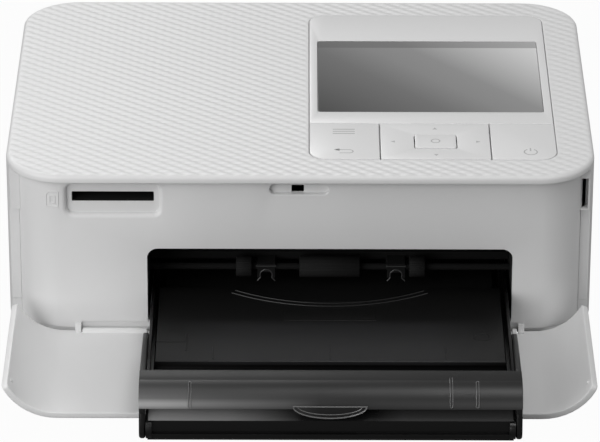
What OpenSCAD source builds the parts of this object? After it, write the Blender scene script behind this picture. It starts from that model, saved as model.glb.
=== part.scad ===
// Compact photo printer for postcard-size prints, front door folded open and
// paper cassette in place. Lengths are in millimetres. In the modules, x = 0 is
// the middle of the body, y = 0 the front edge of the top cover and z = 0 the
// table; place() then moves everything to the middle of the footprint.

/* [Body] */
// Width over the side walls
body_w = 182.2; // [181.6:0.2:184]
// Depth from the front edge of the top cover to the rear wall
body_d = 133; // [132:0.5:138]
// Height from the table to the top face
body_h = 57.3; // [57:0.1:60]
// Radius of the four corners, seen from above
corner_r = 18; // [17.6:0.1:18.6]
// Thickness of the moulded outer walls
wall = 2.2; // [1.8:0.1:2.3]
// Height of the rubber feet
foot_h = 1.6; // [1.2:0.1:1.6]

/* [Front door] */
// Thickness of the door
door_t = 2; // [1.6:0.1:2.1]
// Depth of the wings that wrap round the front corners
wing_d = 11.2; // [9:0.2:12]

/* [Control panel] */
// Width of the panel
panel_w = 76.6; // [76:0.2:78]
// Depth of the panel
panel_d = 109.3; // [108:0.2:110]
// Corner radius of the panel
panel_r = 5.5; // [3:0.5:7]
// Width of the display window
window_w = 71.2; // [68:0.2:72]
// Depth of the display window
window_d = 54.2; // [50:0.2:55]
// Travel of every key
key_travel = 0.4; // [0.2:0.05:0.4]

/* [Cassette] */
// Width of the cassette tray over its side walls
tray_w = 110.4; // [108:0.2:111]
// Height of the lowered front end of the inner lid
step_z = 12; // [10.6:0.2:12.4]

/* [Drive] */
// Tooth size of the gears
gear_m = 0.7; // [0.7:0.01:0.7]
// Radius of the rubber roller under the print head
platen_r = 4.2; // [3.8:0.1:4.2]
// Radius of a full ribbon roll
roll_r = 8.8; // [6:0.2:8.8]

/* [Hidden] */
$fn = 48;

// Footprint: the cassette reaches this far in front of the top cover
cassette_reach = 66;
mid_y = (body_d - cassette_reach) / 2;
far = 200;

// Levels
band_z = 54.9;
seam_gap = 0.1;
skin_t = 1.6;
rim_w = 5.2;
top_edge_r = 1.2;
case_z = 9;
floor_t = 1.9;
floor_z = foot_h + floor_t;
bezel_in = 2.8;
bezel_t = 2.2;
bezel_z = 3.6;

// Front door: the hinge axis, and the closed door's lower and upper edge
hinge_y = 1.5;
hinge_z = 2.4;
barrel_r = 1.5;
pin_r = 0.8;
door_z0 = 1.6;
door_z1 = band_z - 0.2;
lug_x = 68.1;
lug_w = 1.9;
knuckle_gap = 0.4;

// Cassette bay in the front
bay_l = -47.3;
bay_r = 65.9;
bay_top = 31.1;
bay_corner_r = 3.3;

// Ink door in the right wall
ink_y0 = 40;
ink_y1 = 112;
ink_z0 = 22;
ink_z1 = 52;
ink_gap = 0.3;

// Panel
panel_cx = 41.2;
panel_cy = 67.15;
panel_y0 = panel_cy - panel_d / 2;
panel_z = body_h + 0.2;
keys_y = 38;
window_cy = 73.7;
flange_z = 54.4;
flange_t = 1.2;
key_t = 1.4;
key_seams = [24.8, 59.2];
seam_w = 0.35;
nav_c = [42.1, 24.8];
ok_w = 12.8;
ok_d = 9.6;
post_z = 54.1;
gimbal_z = 55;
board_z = 51.2;
board_t = 1.2;
switch_sites = [[13.9, 25.2], [69.3, 25.2], nav_c, nav_c + [10.5, 0],
    nav_c - [10.5, 0], nav_c + [0, 9], nav_c - [0, 9]];

// Shaft places, each [y, z]
feed_c = [40, 22.2];
pinch_c = [40, 28.1];
pickup_z = 16.4;
idler_c = [58, feed_c[1] - sqrt(pow(mesh_r(30) + mesh_r(22), 2) - pow(18, 2))];
platen_z = 20.6;
platen_c = [idler_c[0] + sqrt(pow(mesh_r(22) + mesh_r(29), 2) - pow(platen_z - idler_c[1], 2)), platen_z];
pickup_c = [feed_c[0] - sqrt(pow(2 * mesh_r(30), 2) - pow(feed_c[1] - pickup_z, 2)), pickup_z];
takeup_c = [55, 36.2];
supply_c = [97, 36.2];
feed_motor_a = 138;
feed_motor_c = feed_c + (mesh_r(30) + mesh_r(12)) * [cos(feed_motor_a), sin(feed_motor_a)];
ribbon_motor_a = 30;
ribbon_motor_c = takeup_c + (mesh_r(32) + mesh_r(12)) * [cos(ribbon_motor_a), sin(ribbon_motor_a)];
head_pivot_c = [112, 46];
cam_c = [118, 44.7];

// Chassis plates, and the planes of the gears outside the left plate
left_x = -52;
right_x = 69.4;
plate_t = 1.2;
gear_x = -62.5;
gear_w = 4;
ribbon_gear_x = -57;
ribbon_gear_w = 3.5;
bracket_x = -64.6;
roller_x0 = -44;
roller_x1 = 62.6;
shaft_r = 1.5;
run_gap = 0.05;
bush_r = 3;

// Teeth, and the angle at which each gear has a tooth
feed_n = 30;
pickup_n = 30;
idler_n = 22;
platen_n = 29;
takeup_n = 32;
pinion_n = 12;
pickup_a = mesh_phase(angle_to(feed_c, pickup_c), 0, feed_n, pickup_n);
idler_a = mesh_phase(angle_to(feed_c, idler_c), 0, feed_n, idler_n);
platen_a = mesh_phase(angle_to(idler_c, platen_c), idler_a, idler_n, platen_n);
feed_pinion_a = mesh_phase(feed_motor_a, 0, feed_n, pinion_n);
ribbon_pinion_a = mesh_phase(ribbon_motor_a, 0, takeup_n, pinion_n);

// Ink cassette
ink_x0 = -46.5;
ink_x1 = 68;
tube_r = 10.2;
tube_t = 0.8;
ink_end_t = 1.5;
journal_r = 4.5;
spool_bore_r = 3.3;
web_z = 25.4;

// Cassette, about its middle line
cass_x = 9.3;
tray_t = 1.8;
tray_z = 6;
tray_floor_t = 1;
tray_y1 = 97;
tray_wall_z = 16.4;
tray_rear_z = 14;
tray_rear_wall_z = 11.6;
front_y = -62.4;
lid_z = 14;
lid_t = 1.2;
arc_half = 32;
arc_y0 = -0.4;
arc_y1 = 10;
pivot_c = [-62.5, 4.4];
lifter_c = [93, 7.9];
cheek_gap = 0.3;
cheek_t = 1.7;
cheek_r = 3.2;
hood_r = 7.8;
hood_t = 1.3;
hood_c = [-57.5, 10.4];
hood_y1 = -51.8;

// ---- shared shapes ----

function mesh_r(n) = gear_m * n / 2;
function angle_to(a, b) = atan2(b[1] - a[1], b[0] - a[0]);
// Angle of a tooth of gear B that meshes with gear A, seen in the y-z plane
function mesh_phase(dir, phase_a, n_a, n_b) =
    dir + 180 + (0.5 + (dir - phase_a) * n_a / 360) * 360 / n_b;

module place() translate([0, -mid_y, 0]) children();
module block(lo, hi) translate(lo) cube(hi - lo);
// A y-z outline, pushed along +x from x0 to x1
module along_x(x0, x1) translate([x0, 0, 0]) rotate([90, 0, 90]) linear_extrude(x1 - x0) children();
// An x-z outline, pushed along y from y0 to y1
module along_y(y0, y1) translate([0, y1, 0]) rotate([90, 0, 0]) linear_extrude(y1 - y0) children();
module rod(x0, x1, c, r) along_x(x0, x1) translate(c) circle(r);
module tube(x0, x1, c, r_out, r_in) along_x(x0, x1) translate(c) difference() {
    circle(r_out);
    circle(r_in);
}
module rrect(w, d, r) {
    square([w - 2 * r, d], center = true);
    square([w, d - 2 * r], center = true);
    for (sx = [-1, 1], sy = [-1, 1])
        translate([sx * (w / 2 - r), sy * (d / 2 - r)]) circle(r);
}
module pad(cx, cy, w, d, r, z0, z1) translate([cx, cy, z0]) linear_extrude(z1 - z0) rrect(w, d, r);
module plan(inset) translate([0, body_d / 2])
    rrect(body_w - 2 * inset, body_d - 2 * inset, corner_r - inset);
module ring(inset0, inset1, z0, z1) translate([0, 0, z0]) linear_extrude(z1 - z0) difference() {
    plan(inset0);
    plan(inset1);
}
// Half of a section whose upper outer corner is rounded
module edge_half(half, h, e) {
    square([half - e, h]);
    square([half, h - e]);
    translate([half - e, h - e]) intersection() {
        circle(e);
        square(e);
    }
}
// Slab with rounded corners and a rounded upper edge
module soft_slab(w, d, h, r, e) {
    for (sx = [-1, 1], sy = [-1, 1])
        translate([sx * (w / 2 - r), sy * (d / 2 - r), 0]) rotate_extrude() edge_half(r, h, e);
    along_y(-(d / 2 - r), d / 2 - r) {
        edge_half(w / 2, h, e);
        mirror([1, 0]) edge_half(w / 2, h, e);
    }
    along_x(-(w / 2 - r), w / 2 - r) {
        edge_half(d / 2, h, e);
        mirror([1, 0]) edge_half(d / 2, h, e);
    }
}
module gear(x0, w, c, n, phase, bore) along_x(x0, x0 + w) translate(c) difference() {
    rotate(phase) polygon([for (i = [0:n - 1], p = [[-0.31, -1.15], [-0.11, 0.85], [0.11, 0.85], [0.31, -1.15]])
        (mesh_r(n) + p[1] * gear_m) * [cos((i + p[0]) * 360 / n), sin((i + p[0]) * 360 / n)]]);
    circle(bore);
}

// ---- outer shells ----

module top_cover() place() color("white") difference() {
    translate([0, body_d / 2, band_z]) soft_slab(body_w, body_d, body_h - band_z, corner_r, top_edge_r);
    translate([0, 0, band_z - 1]) linear_extrude(body_h - skin_t - band_z + 1) plan(rim_w);
    pad(panel_cx, panel_cy, panel_w + 0.4, panel_d + 0.4, panel_r + 0.2, band_z - 1, body_h + 1);
}

module body_case() place() color("white") difference() {
    union() {
        difference() {
            ring(0, wall, case_z, band_z - seam_gap);
            block([-far, -far, 0], [far, wing_d, far]);
        }
        // flanges behind the door's wings
        intersection() {
            ring(0, bezel_in - 0.05, case_z, band_z - seam_gap);
            block([-far, wing_d, 0], [far, wing_d + 2, far]);
        }
        // stop frame behind the ink door
        difference() {
            block([87.2, ink_y0 - 3, ink_z0 - 4], [body_w / 2 - wall, ink_y1 + 3, band_z - 0.5]);
            block([80, ink_y0 + 2, ink_z0 + 1], [far, ink_y1 - 2, ink_z1 - 2]);
        }
    }
    // opening for the ink door
    block([body_w / 2 - wall, ink_y0 - ink_gap, ink_z0 - 1 - ink_gap], [far, ink_y1 + ink_gap, ink_z1 + ink_gap]);
    rotate([-90, 0, 0]) translate([ink_axis_x(), -ink_z0, ink_y0 - 2.1]) cylinder(h = ink_y1 - ink_y0 + 4.2, r = 0.62);
    // under the catch the flanges stand back a little; the catch pocket is on the right alone
    for (s = [-1, 1])
        block([s * 88 - 8, wing_d - 1, 0], [s * 88 + 8, wing_d + 0.8, 40.5]);
    block([86.5, wing_d - 1, 41], [89.2, wing_d + 4.3, 51.5]);
    // rear: paper slot, vents and sockets
    block([-44, body_d - 4, 23.2], [62, far, 26.8]);
    for (i = [0:19])
        block([-36 + i * 4, body_d - 4, 33], [-34.4 + i * 4, far, 48]);
    translate([usb_x() - 4.8, body_d - 4, 12.6]) cube([9.6, far, 3.8]);
    along_y(body_d - 4, far) translate([jack_x(), 14.5]) circle(4.2);
    translate([63, body_d - 4, 12]) cube([7, far, 3]);
}
function ink_axis_x() = body_w / 2 - 1;
function usb_x() = -44;
function jack_x() = -62;

module bottom_case() place() color("white") difference() {
    union() {
        difference() {
            translate([0, body_d / 2, case_z - seam_gap]) mirror([0, 0, 1])
                soft_slab(body_w, body_d, case_z - seam_gap - foot_h, corner_r, 1.4);
            translate([0, 0, floor_z]) linear_extrude(far) plan(wall);
        }
        for (p = screw_sites())
            translate([p[0], p[1], floor_z - 0.5]) cylinder(h = 7, r = 3.4);
        // lower ends of the flanges behind the door's wings
        intersection() {
            ring(0, bezel_in - 0.05, floor_z, case_z - seam_gap);
            block([-far, wing_d + 0.8, 0], [far, wing_d + 2, far]);
        }
        // rails under the cassette
        for (x = [cass_x - 52, cass_x + 49])
            block([x, 6, floor_z], [x + 3, 96, tray_z - 0.3]);
    }
    // the front lies behind the door and the bezel
    block([-far, -far, 0], [far, 3.4, far]);
    difference() {
        block([-far, -far, 0], [far, wing_d + 0.8, far]);
        linear_extrude(far) plan(bezel_in);
    }
    block([-86.3, -far, floor_z], [86.3, 14, far]);
    for (p = screw_sites()) {
        translate([p[0], p[1], 0]) cylinder(h = foot_h + 3, r = 2.7);
        translate([p[0], p[1], 0]) cylinder(h = far, r = 1.25);
    }
}
function screw_sites() = [[-78, 34], [78, 34], [-78, 100], [78, 100], [-58, 123], [58, 123]];

module case_screws() place() color("gray") for (p = screw_sites()) {
    translate([p[0], p[1], foot_h + 1.4]) difference() {
        cylinder(h = 1.6, r = 2.4);
        for (a = [0, 90])
            rotate(a) block([-1.5, -0.25, -1], [1.5, 0.25, 0.8]);
    }
    translate([p[0], p[1], foot_h + 3]) cylinder(h = 5.4, r = 1.2);
}

module rubber_feet() place() color("dimgray")
    for (x = [-70, 70], y = [26, 116])
        translate([x, y, 0]) cylinder(h = foot_h, r = 6);

module bay_outline() {
    translate([bay_l, -1]) square([bay_r - bay_l, bay_top - bay_corner_r + 1]);
    translate([bay_l + bay_corner_r, 0]) square([bay_r - bay_l - 2 * bay_corner_r, bay_top]);
    for (x = [bay_l + bay_corner_r, bay_r - bay_corner_r])
        translate([x, bay_top - bay_corner_r]) circle(bay_corner_r);
}

module front_bezel() place() color("white") difference() {
    union() {
        intersection() {
            ring(bezel_in, bezel_in + bezel_t, bezel_z, band_z - seam_gap);
            block([-far, 0, 0], [far, 13, far]);
        }
        // backs of the card recess and of the latch recess
        block([-76, 4.9, 39.5], [-40, 7, band_z - seam_gap]);
        block([-12, 4.9, 48], [12, 7, band_z - seam_gap]);
        // lugs that hold the door's hinge pins
        for (s = [-1, 1]) {
            x0 = s > 0 ? lug_x : -lug_x - lug_w;
            rod(x0, x0 + lug_w, [hinge_y, hinge_z], barrel_r);
            block([x0, hinge_y, hinge_z], [x0 + lug_w, 3.2, 3.9]);
            block([x0, hinge_y + 0.4, 3.7], [x0 + lug_w, 4.9, 5.2]);
        }
    }
    along_y(-1, far) bay_outline();
    along_y(-1, 4.6) translate([-57.65, 47.85]) rrect(29.3, 11.3, 2.5);
    block([-70.2, 0, 46.7], [-45.1, far, 49.9]);
    along_y(-1, 4.4) translate([-0.3, 51.55]) rrect(18.4, 3.7, 1.8);
    block([-2.6, 0, 50], [1.2, far, 52.4]);
    // recess for the door's barrel
    block([-lug_x + 0.05, 0, 0], [bay_l + 1, 3.3, 5.6]);
    block([bay_r - 1, 0, 0], [lug_x - 0.05, 3.3, 5.6]);
    rod(-far, far, [hinge_y, hinge_z], pin_r + 0.01);
}

module hinge_pins() place() color("silver") {
    rod(-lug_x - lug_w, -lug_x + 2.2, [hinge_y, hinge_z], pin_r);
    rod(lug_x - 1.6, lug_x + lug_w, [hinge_y, hinge_z], pin_r);
    for (y = [ink_y0 - 2, ink_y1 - 1.5])
        translate([ink_axis_x(), y, ink_z0]) rotate([-90, 0, 0]) cylinder(h = 3.5, r = 0.6);
}

// Turns the closed door forward through a right angle
module door_open() translate([0, hinge_y, hinge_z]) rotate([90, 0, 0])
    translate([0, -hinge_y, -hinge_z]) children();

module front_door() place() color("white") difference() {
    door_open() {
        intersection() {
            ring(0, door_t, door_z0, door_z1);
            block([-far, -1, 0], [far, wing_d - 0.2, far]);
        }
        rod(-lug_x + knuckle_gap, bay_l - 0.3, [hinge_y, hinge_z], barrel_r);
        rod(bay_r + 0.4, lug_x - knuckle_gap, [hinge_y, hinge_z], barrel_r);
        // catch hook and the bumps that click into the side pockets
        block([-2.2, door_t - 0.5, 50.6], [0.8, 4.2, 51.8]);
        block([-2.2, 3.2, 50.1], [0.8, 4.2, 51.8]);
        for (s = [-1, 1])
            translate([s * 87.1, 9.9, 49.4]) sphere(0.7);
    }
    for (s = [-1, 1]) {
        x0 = s > 0 ? lug_x - knuckle_gap : -lug_x - lug_w - 0.3;
        block([x0, -1.4, 0], [x0 + lug_w + knuckle_gap + 0.3, 4, 6]);
    }
    rod(-far, -bay_r, [hinge_y, hinge_z], pin_r + run_gap);
    rod(bay_r, far, [hinge_y, hinge_z], pin_r + run_gap);
}

module ink_door() place() color("white") difference() {
    union() {
        block([body_w / 2 - 2, ink_y0, ink_z0], [body_w / 2, ink_y1, ink_z1]);
        translate([ink_axis_x(), ink_y0, ink_z0]) rotate([-90, 0, 0]) cylinder(h = ink_y1 - ink_y0, r = 1);
    }
    for (y = [ink_y0 - 1, ink_y1 - 2])
        translate([ink_axis_x(), y, ink_z0]) rotate([-90, 0, 0]) cylinder(h = 3, r = 0.6 + run_gap);
    // finger scoop in the upper edge
    translate([body_w / 2 + 8.8, (ink_y0 + ink_y1) / 2 - 9, ink_z1]) rotate([-90, 0, 0]) cylinder(h = 18, r = 10);
}

// ---- control panel ----

module panel_frame() place() color("white") difference() {
    union() {
        pad(panel_cx, panel_cy, panel_w + 5, panel_d + 5, panel_r + 2, flange_z, flange_z + flange_t);
        intersection() {
            pad(panel_cx, panel_cy, panel_w, panel_d, panel_r, flange_z, panel_z);
            block([0, keys_y + 0.2, 0], [far, far, far]);
        }
    }
    pad(panel_cx, window_cy, window_w + 0.3, window_d + 0.3, 1.6, panel_z - 1.4, far);
    pad(panel_cx, window_cy, window_w - 4, window_d - 4, 1, 0, far);
    for (p = switch_sites)
        translate([p[0], p[1], 0]) cylinder(h = far, r = 1.6);
    translate([nav_c[0], nav_c[1], 0]) cylinder(h = far, r = 8.2);
    rod(nav_c[0] - 10, nav_c[0] + 10, [nav_c[1], gimbal_z], 0.4 + run_gap);
}

module lcd_glass() place() color([0.2, 0.2, 0.22])
    pad(panel_cx, window_cy, window_w, window_d, 1.5, panel_z - 1.35, panel_z - 0.05);

module lcd_module() place() color("dimgray") difference() {
    pad(panel_cx, window_cy, 76.6, 60, 1, flange_z - 3, flange_z - 0.1);
    pad(panel_cx, window_cy, 72, 55, 0.6, flange_z - 0.6, far);
}

module key_outline(x0, x1) intersection() {
    translate([panel_cx, panel_cy]) rrect(panel_w, panel_d, panel_r);
    translate([x0 + seam_w / 2, 0]) square([x1 - x0 - seam_w, keys_y - seam_w / 2]);
}
module key_cap(x0, x1) translate([0, 0, panel_z - key_t]) linear_extrude(key_t) key_outline(x0, x1);
module post(p, r) translate([p[0], p[1], post_z]) cylinder(h = panel_z - key_t + 0.2 - post_z, r = r);

module menu_key() place() color("white") {
    key_cap(0, key_seams[0]);
    post(switch_sites[0], 1.3);
}
module power_key() place() color("white") {
    key_cap(key_seams[1], far);
    post(switch_sites[1], 1.3);
}
module nav_plate() place() color("white") {
    difference() {
        key_cap(key_seams[0], key_seams[1]);
        pad(nav_c[0], nav_c[1], ok_w + 0.6, ok_d + 0.6, 1.2, 0, far);
    }
    difference() {
        for (i = [3:6])
            post(switch_sites[i], 1.2);
        along_y(nav_c[1] - 12, nav_c[1] + 12) translate([nav_c[0], gimbal_z]) circle(0.4 + run_gap);
    }
}
// Ring that lets the rocker plate tilt both ways
module nav_carrier() place() color("gray") {
    translate([nav_c[0], nav_c[1], gimbal_z - 0.45]) difference() {
        cylinder(h = 0.9, r = 7.6);
        cylinder(h = 9, r = 5.2, center = true);
    }
    for (s = [-1, 1]) {
        rod(nav_c[0] + s * 8.1 - 0.8, nav_c[0] + s * 8.1 + 0.8, [nav_c[1], gimbal_z], 0.4);
        along_y(nav_c[1] + s * 8.2 - 0.9, nav_c[1] + s * 8.2 + 0.9) translate([nav_c[0], gimbal_z]) circle(0.4);
    }
}
module ok_button() place() color("white") {
    pad(nav_c[0], nav_c[1], ok_w, ok_d, 1, panel_z - key_t + 0.1, panel_z + 0.2);
    translate([nav_c[0], nav_c[1], post_z]) cylinder(h = 2.2, r = 1.2);
}
module key_board() place() color("darkgreen") block([4, 13, board_z], [78, keys_y, board_z + board_t]);
module key_domes() place() color("lightgray")
    for (p = switch_sites)
        translate([p[0], p[1], board_z + board_t]) {
            cylinder(h = 0.4, r = 2.6);
            cylinder(h = 1.1, r = 1.4);
        }
module panel_flex() place() color("peru") {
    block([-83.6, 39, 50.9], [10, 42, 51.1]);
    block([4.5, 34, 50.9], [10, 42, 51.1]);
    block([-83.6, 39, 44], [-83.4, 42, 51.1]);
}

// ---- chassis and paper path ----

module bay_liner() place() color([0.06, 0.06, 0.06]) difference() {
    union() {
        for (x = [bay_l - 2, bay_r])
            block([x, 5.1, bezel_z], [x + 2, 34, bay_top]);
        block([bay_l - 2, 5.1, bay_top], [bay_r + 2, 34, bay_top + 1.6]);
        // low guides along the cassette
        for (x = [bay_l - 2, bay_r])
            block([x, 34, bezel_z], [x + 2, 99, tray_rear_z + 1]);
        block([bay_l - 2, 99, bezel_z], [bay_r + 2, 100.6, tray_rear_z + 1]);
    }
    rod(-far, far, pickup_c, 1.6);
}

module pickup_beam() place() color([0.08, 0.08, 0.08]) difference() {
    union() {
        block([bay_l + 0.1, 24.6, 16.6], [bay_r - 0.1, 27.4, 19.2]);
        for (x = [-10.6, 30.2]) {
            block([x - 2.8, pickup_c[0] - 1.5, 13], [x + 2.8, pickup_c[0] + 1.5, 17.9]);
            block([x - 2.8, pickup_c[0] + 1.5, 16.8], [x + 2.8, 25, 17.9]);
        }
    }
    for (x = [-10.6, 30.2])
        block([x - 1.9, 0, 12], [x + 1.9, 24, pickup_z - 1.4]);
    rod(-far, far, pickup_c, 1 + run_gap);
}

module paper_guide() place() color([0.1, 0.1, 0.1]) difference() {
    union() {
        block([-46.8, 34.6, 22.6], [65.4, 126, 23.8]);
        for (x = [-46.8, 64])
            block([x, 34.6, 17], [x + 1.4, 126, 24.2]);
        // ramp lip in front of the rear slot
        block([-44, 126, 22.6], [62, 130.6, 23]);
    }
    block([roller_x0 - 1, feed_c[0] - 3.4, 0], [roller_x1 + 1, feed_c[0] + 3.4, far]);
    block([roller_x0 - 1, platen_c[0] - 4.8, 0], [roller_x1 + 1, platen_c[0] + 4.8, far]);
    for (c = [feed_c, platen_c])
        rod(-far, far, c, 2.6);
}

module plate_outline() difference() {
    translate([7.2, floor_z + 0.1]) square([112.8, 47]);
    for (c = [feed_c, platen_c, pinch_c, pickup_c, head_pivot_c])
        translate(c) circle(c == pinch_c ? 2.4 : bush_r);
}

module chassis_left() place() color("silver") {
    difference() {
        along_x(left_x, left_x + plate_t) plate_outline();
        for (c = [takeup_c, supply_c])
            rod(-far, far, c, bush_r);
        rod(-far, far, cam_c, 1.2 + run_gap);
        // room for the card socket
        block([-far, 0, 45], [0, 38.4, far]);
    }
    along_x(left_x - 2, left_x) translate(idler_c) circle(2.4);
    rod(gear_x - 0.4, left_x - 2, idler_c, 1.5);
    block([left_x - 6, 104, floor_z + 0.1], [left_x, 118, floor_z + 1.3]);
}

module chassis_right() place() color("silver") difference() {
    union() {
        along_x(right_x, right_x + plate_t) plate_outline();
        block([right_x + plate_t, 104, floor_z + 0.1], [right_x + 7, 118, floor_z + 1.3]);
        // slide of the cassette lever
        difference() {
            block([right_x + plate_t, 107.7, 33], [75.2, 113, 37]);
            block([71.9, 104.9, 0], [74.1, 109.1, far]);
        }
    }
    block([0, takeup_c[0] - 11, supply_c[1] - 11], [right_x + plate_t, supply_c[0] + 11, supply_c[1] + 11]);
}

module chassis_ties() place() color("silver") {
    block([left_x + plate_t, 10, 34], [right_x, 24, 35.2]);
    block([left_x + plate_t, 116, 8], [right_x, 119, 12]);
    block([left_x + plate_t, 9, 40], [right_x, 12, 44]);
}

module shaft_bushes() place() color("goldenrod") {
    for (x = [left_x, right_x])
        for (s = [[feed_c, shaft_r], [platen_c, shaft_r], [pickup_c, 1], [head_pivot_c, shaft_r]])
            tube(x, x + plate_t, s[0], bush_r, s[1] + run_gap);
    for (c = [takeup_c, supply_c])
        tube(left_x, left_x + plate_t, c, bush_r, 2 + run_gap);
    for (x = [left_x, right_x])
        tube(x, x + plate_t, pinch_c, 2.4, 1.2 + run_gap);
}

module pickup_shaft() place() color("dimgray") rod(gear_x, right_x + plate_t + 1, pickup_c, 1);
module pickup_rollers() place() color("gray") {
    tube(cass_x - 9.5, cass_x + 9.5, pickup_c, 3.4, 1);
    for (x = [-17.6, 36.8])
        tube(x - 2.5, x + 2.5, pickup_c, 3.3, 1);
}
module pickup_gear() place() color("ivory") gear(gear_x, gear_w, pickup_c, pickup_n, pickup_a, 1);

module feed_roller() place() color("silver") {
    rod(roller_x0, roller_x1, feed_c, 2.65);
    rod(gear_x, right_x + plate_t + 1, feed_c, shaft_r);
}
module feed_gear() place() color("ivory") gear(gear_x, gear_w, feed_c, feed_n, 0, shaft_r);
module pinch_roller() place() color("dimgray") {
    rod(roller_x0, roller_x1, pinch_c, 3);
    rod(left_x - 0.5, right_x + plate_t + 0.5, pinch_c, 1.2);
}
module idler_gear() place() color("ivory") gear(gear_x, gear_w, idler_c, idler_n, idler_a, 1.5 + run_gap);
module platen_roller() place() color("dimgray") {
    rod(roller_x0, roller_x1, platen_c, platen_r);
    rod(gear_x, right_x + plate_t + 1, platen_c, shaft_r);
}
module platen_gear() place() color("ivory") gear(gear_x, gear_w, platen_c, platen_n, platen_a, shaft_r);

// ---- motors ----

module motor_bracket() place() color("silver") difference() {
    union() {
        along_x(bracket_x, bracket_x + plate_t) {
            translate([16, 20]) square([72, 24.9]);
            translate([38.6, 20]) square([49.4, 30.4]);
        }
        for (c = [[40.6, 48.4], [19, 34], [84, 44]])
            rod(bracket_x + plate_t, left_x, c, 1.6);
    }
    rod(-far, far, feed_motor_c, 3.2);
    rod(-far, bracket_x + plate_t, ribbon_motor_c, 3.2);
}
module motor(c, r) {
    rod(bracket_x - 18, bracket_x, c, r);
    rod(bracket_x, bracket_x + plate_t - 0.2, c, 3);
}
module feed_motor() place() color("slategray") motor(feed_motor_c, 9.5);
module ribbon_motor() place() color("slategray") motor(ribbon_motor_c, 7);
module feed_pinion() place() color("goldenrod") gear(gear_x, gear_w, feed_motor_c, pinion_n, feed_pinion_a, 0.01);
module ribbon_pinion() place() color("goldenrod") {
    gear(ribbon_gear_x, ribbon_gear_w, ribbon_motor_c, pinion_n, ribbon_pinion_a, 0.01);
    rod(gear_x, ribbon_gear_x, ribbon_motor_c, 1);
}

// ---- ribbon drive and ink cassette ----

module takeup_drive() place() color("ivory") {
    gear(ribbon_gear_x, ribbon_gear_w, takeup_c, takeup_n, 0, 2);
    rod(ribbon_gear_x, left_x + plate_t + 0.5, takeup_c, 2);
    rod(left_x + plate_t + 0.5, ink_x0 + 4, takeup_c, 3);
}
module supply_brake() place() color("ivory") {
    rod(ribbon_gear_x, ribbon_gear_x + 3, supply_c, 7);
    rod(ribbon_gear_x + 3, left_x + plate_t + 0.5, supply_c, 2);
    rod(left_x + plate_t + 0.5, ink_x0 + 4, supply_c, 3);
}

module ink_case() place() color([0.15, 0.15, 0.17]) {
    difference() {
        union() {
            for (c = [takeup_c, supply_c])
                tube(ink_x0 + 0.5, ink_x1 - 0.5, c, tube_r, tube_r - tube_t);
            for (x = [ink_x0, ink_x1 - ink_end_t])
                along_x(x, x + ink_end_t) {
                    for (c = [takeup_c, supply_c])
                        translate(c) circle(tube_r + 0.4);
                    translate([takeup_c[0], 30]) square([supply_c[0] - takeup_c[0], 12]);
                }
        }
        // mouths for the ribbon, towards the window
        block([ink_x0 + 3, takeup_c[0] + 1, 20], [ink_x1 - 3, takeup_c[0] + 9, 31]);
        block([ink_x0 + 3, supply_c[0] - 9, 20], [ink_x1 - 3, supply_c[0] - 1, 31]);
        for (c = [takeup_c, supply_c])
            rod(-far, far, c, journal_r + run_gap);
    }
    // grip
    difference() {
        block([ink_x1 - 0.5, 50, 29], [82, 102, 44]);
        block([ink_x1 + 1, 61, 31], [80.5, 91, 41]);
        for (c = [takeup_c, supply_c])
            rod(ink_x1 - 1, ink_x1 + 1, c, journal_r + 1);
    }
}
module spool(c, r) difference() {
    union() {
        rod(ink_x0 + 0.2, ink_x1 - 0.2, c, journal_r);
        rod(ink_x0 + 3, ink_x1 - 3, c, r);
    }
    rod(ink_x0, ink_x0 + 9, c, spool_bore_r);
}
module supply_spool() place() color([0.5, 0.1, 0.35]) spool(supply_c, roll_r);
module takeup_spool() place() color([0.3, 0.1, 0.3]) spool(takeup_c, 5.4);
module ribbon_web() place() color([0.7, 0.2, 0.4]) along_x(ink_x0 + 4, ink_x1 - 4) polygon([
    [60.7, 33.4], [62.5, web_z], [89.5, web_z], [91.7, 28], [91.6, 28.1],
    [89.4, web_z + 0.1], [62.6, web_z + 0.1], [60.8, 33.5]]);

module ink_lever() place() color("orange") {
    block([72, 105, 26], [84, 109, 29]);
    block([72, 105, 29], [74, 109, 42]);
}

// ---- print head ----

module head_arm() place() color("silver") {
    difference() {
        union() {
            block([-42, 66, 48], [64, 116, 49.4]);
            block([-49.6, 108, 48], [-42, 122, 49.4]);
            for (x = [-44, 62.4])
                along_x(x, x + 1.6) {
                    translate(head_pivot_c) circle(3.4);
                    translate([head_pivot_c[0] - 3.4, head_pivot_c[1]]) square([6.8, 2.2]);
                }
        }
        rod(-far, far, head_pivot_c, shaft_r);
    }
    rod(left_x, right_x + plate_t, head_pivot_c, shaft_r);
}
module heat_sink() place() color("lightgray") difference() {
    block([-39.8, 69.8, 31], [60.2, 82.2, 48]);
    for (i = [0:3])
        block([-far, 71.4 + i * 2.6, 38], [far, 72.8 + i * 2.6, 46]);
}
module thermal_head() place() color("beige") {
    block([-39.8, 70.6, 29], [60.2, 81.4, 31]);
    rod(-39.8, 60.2, [platen_c[0], 28.6], 0.6);
}
// Snail cam: its radius grows evenly over a quarter turn
module head_cam() place() color("ivory") {
    along_x(-49.6, -46.4) translate(cam_c) polygon([for (a = [0:5:355])
        (a <= 90 ? 3 + 0.366 * (90 - a) / 90 : 3) * [cos(a), sin(a)]]);
    rod(left_x - 2, -49.5, cam_c, 1.2);
}

// ---- boards and sockets ----

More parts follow.
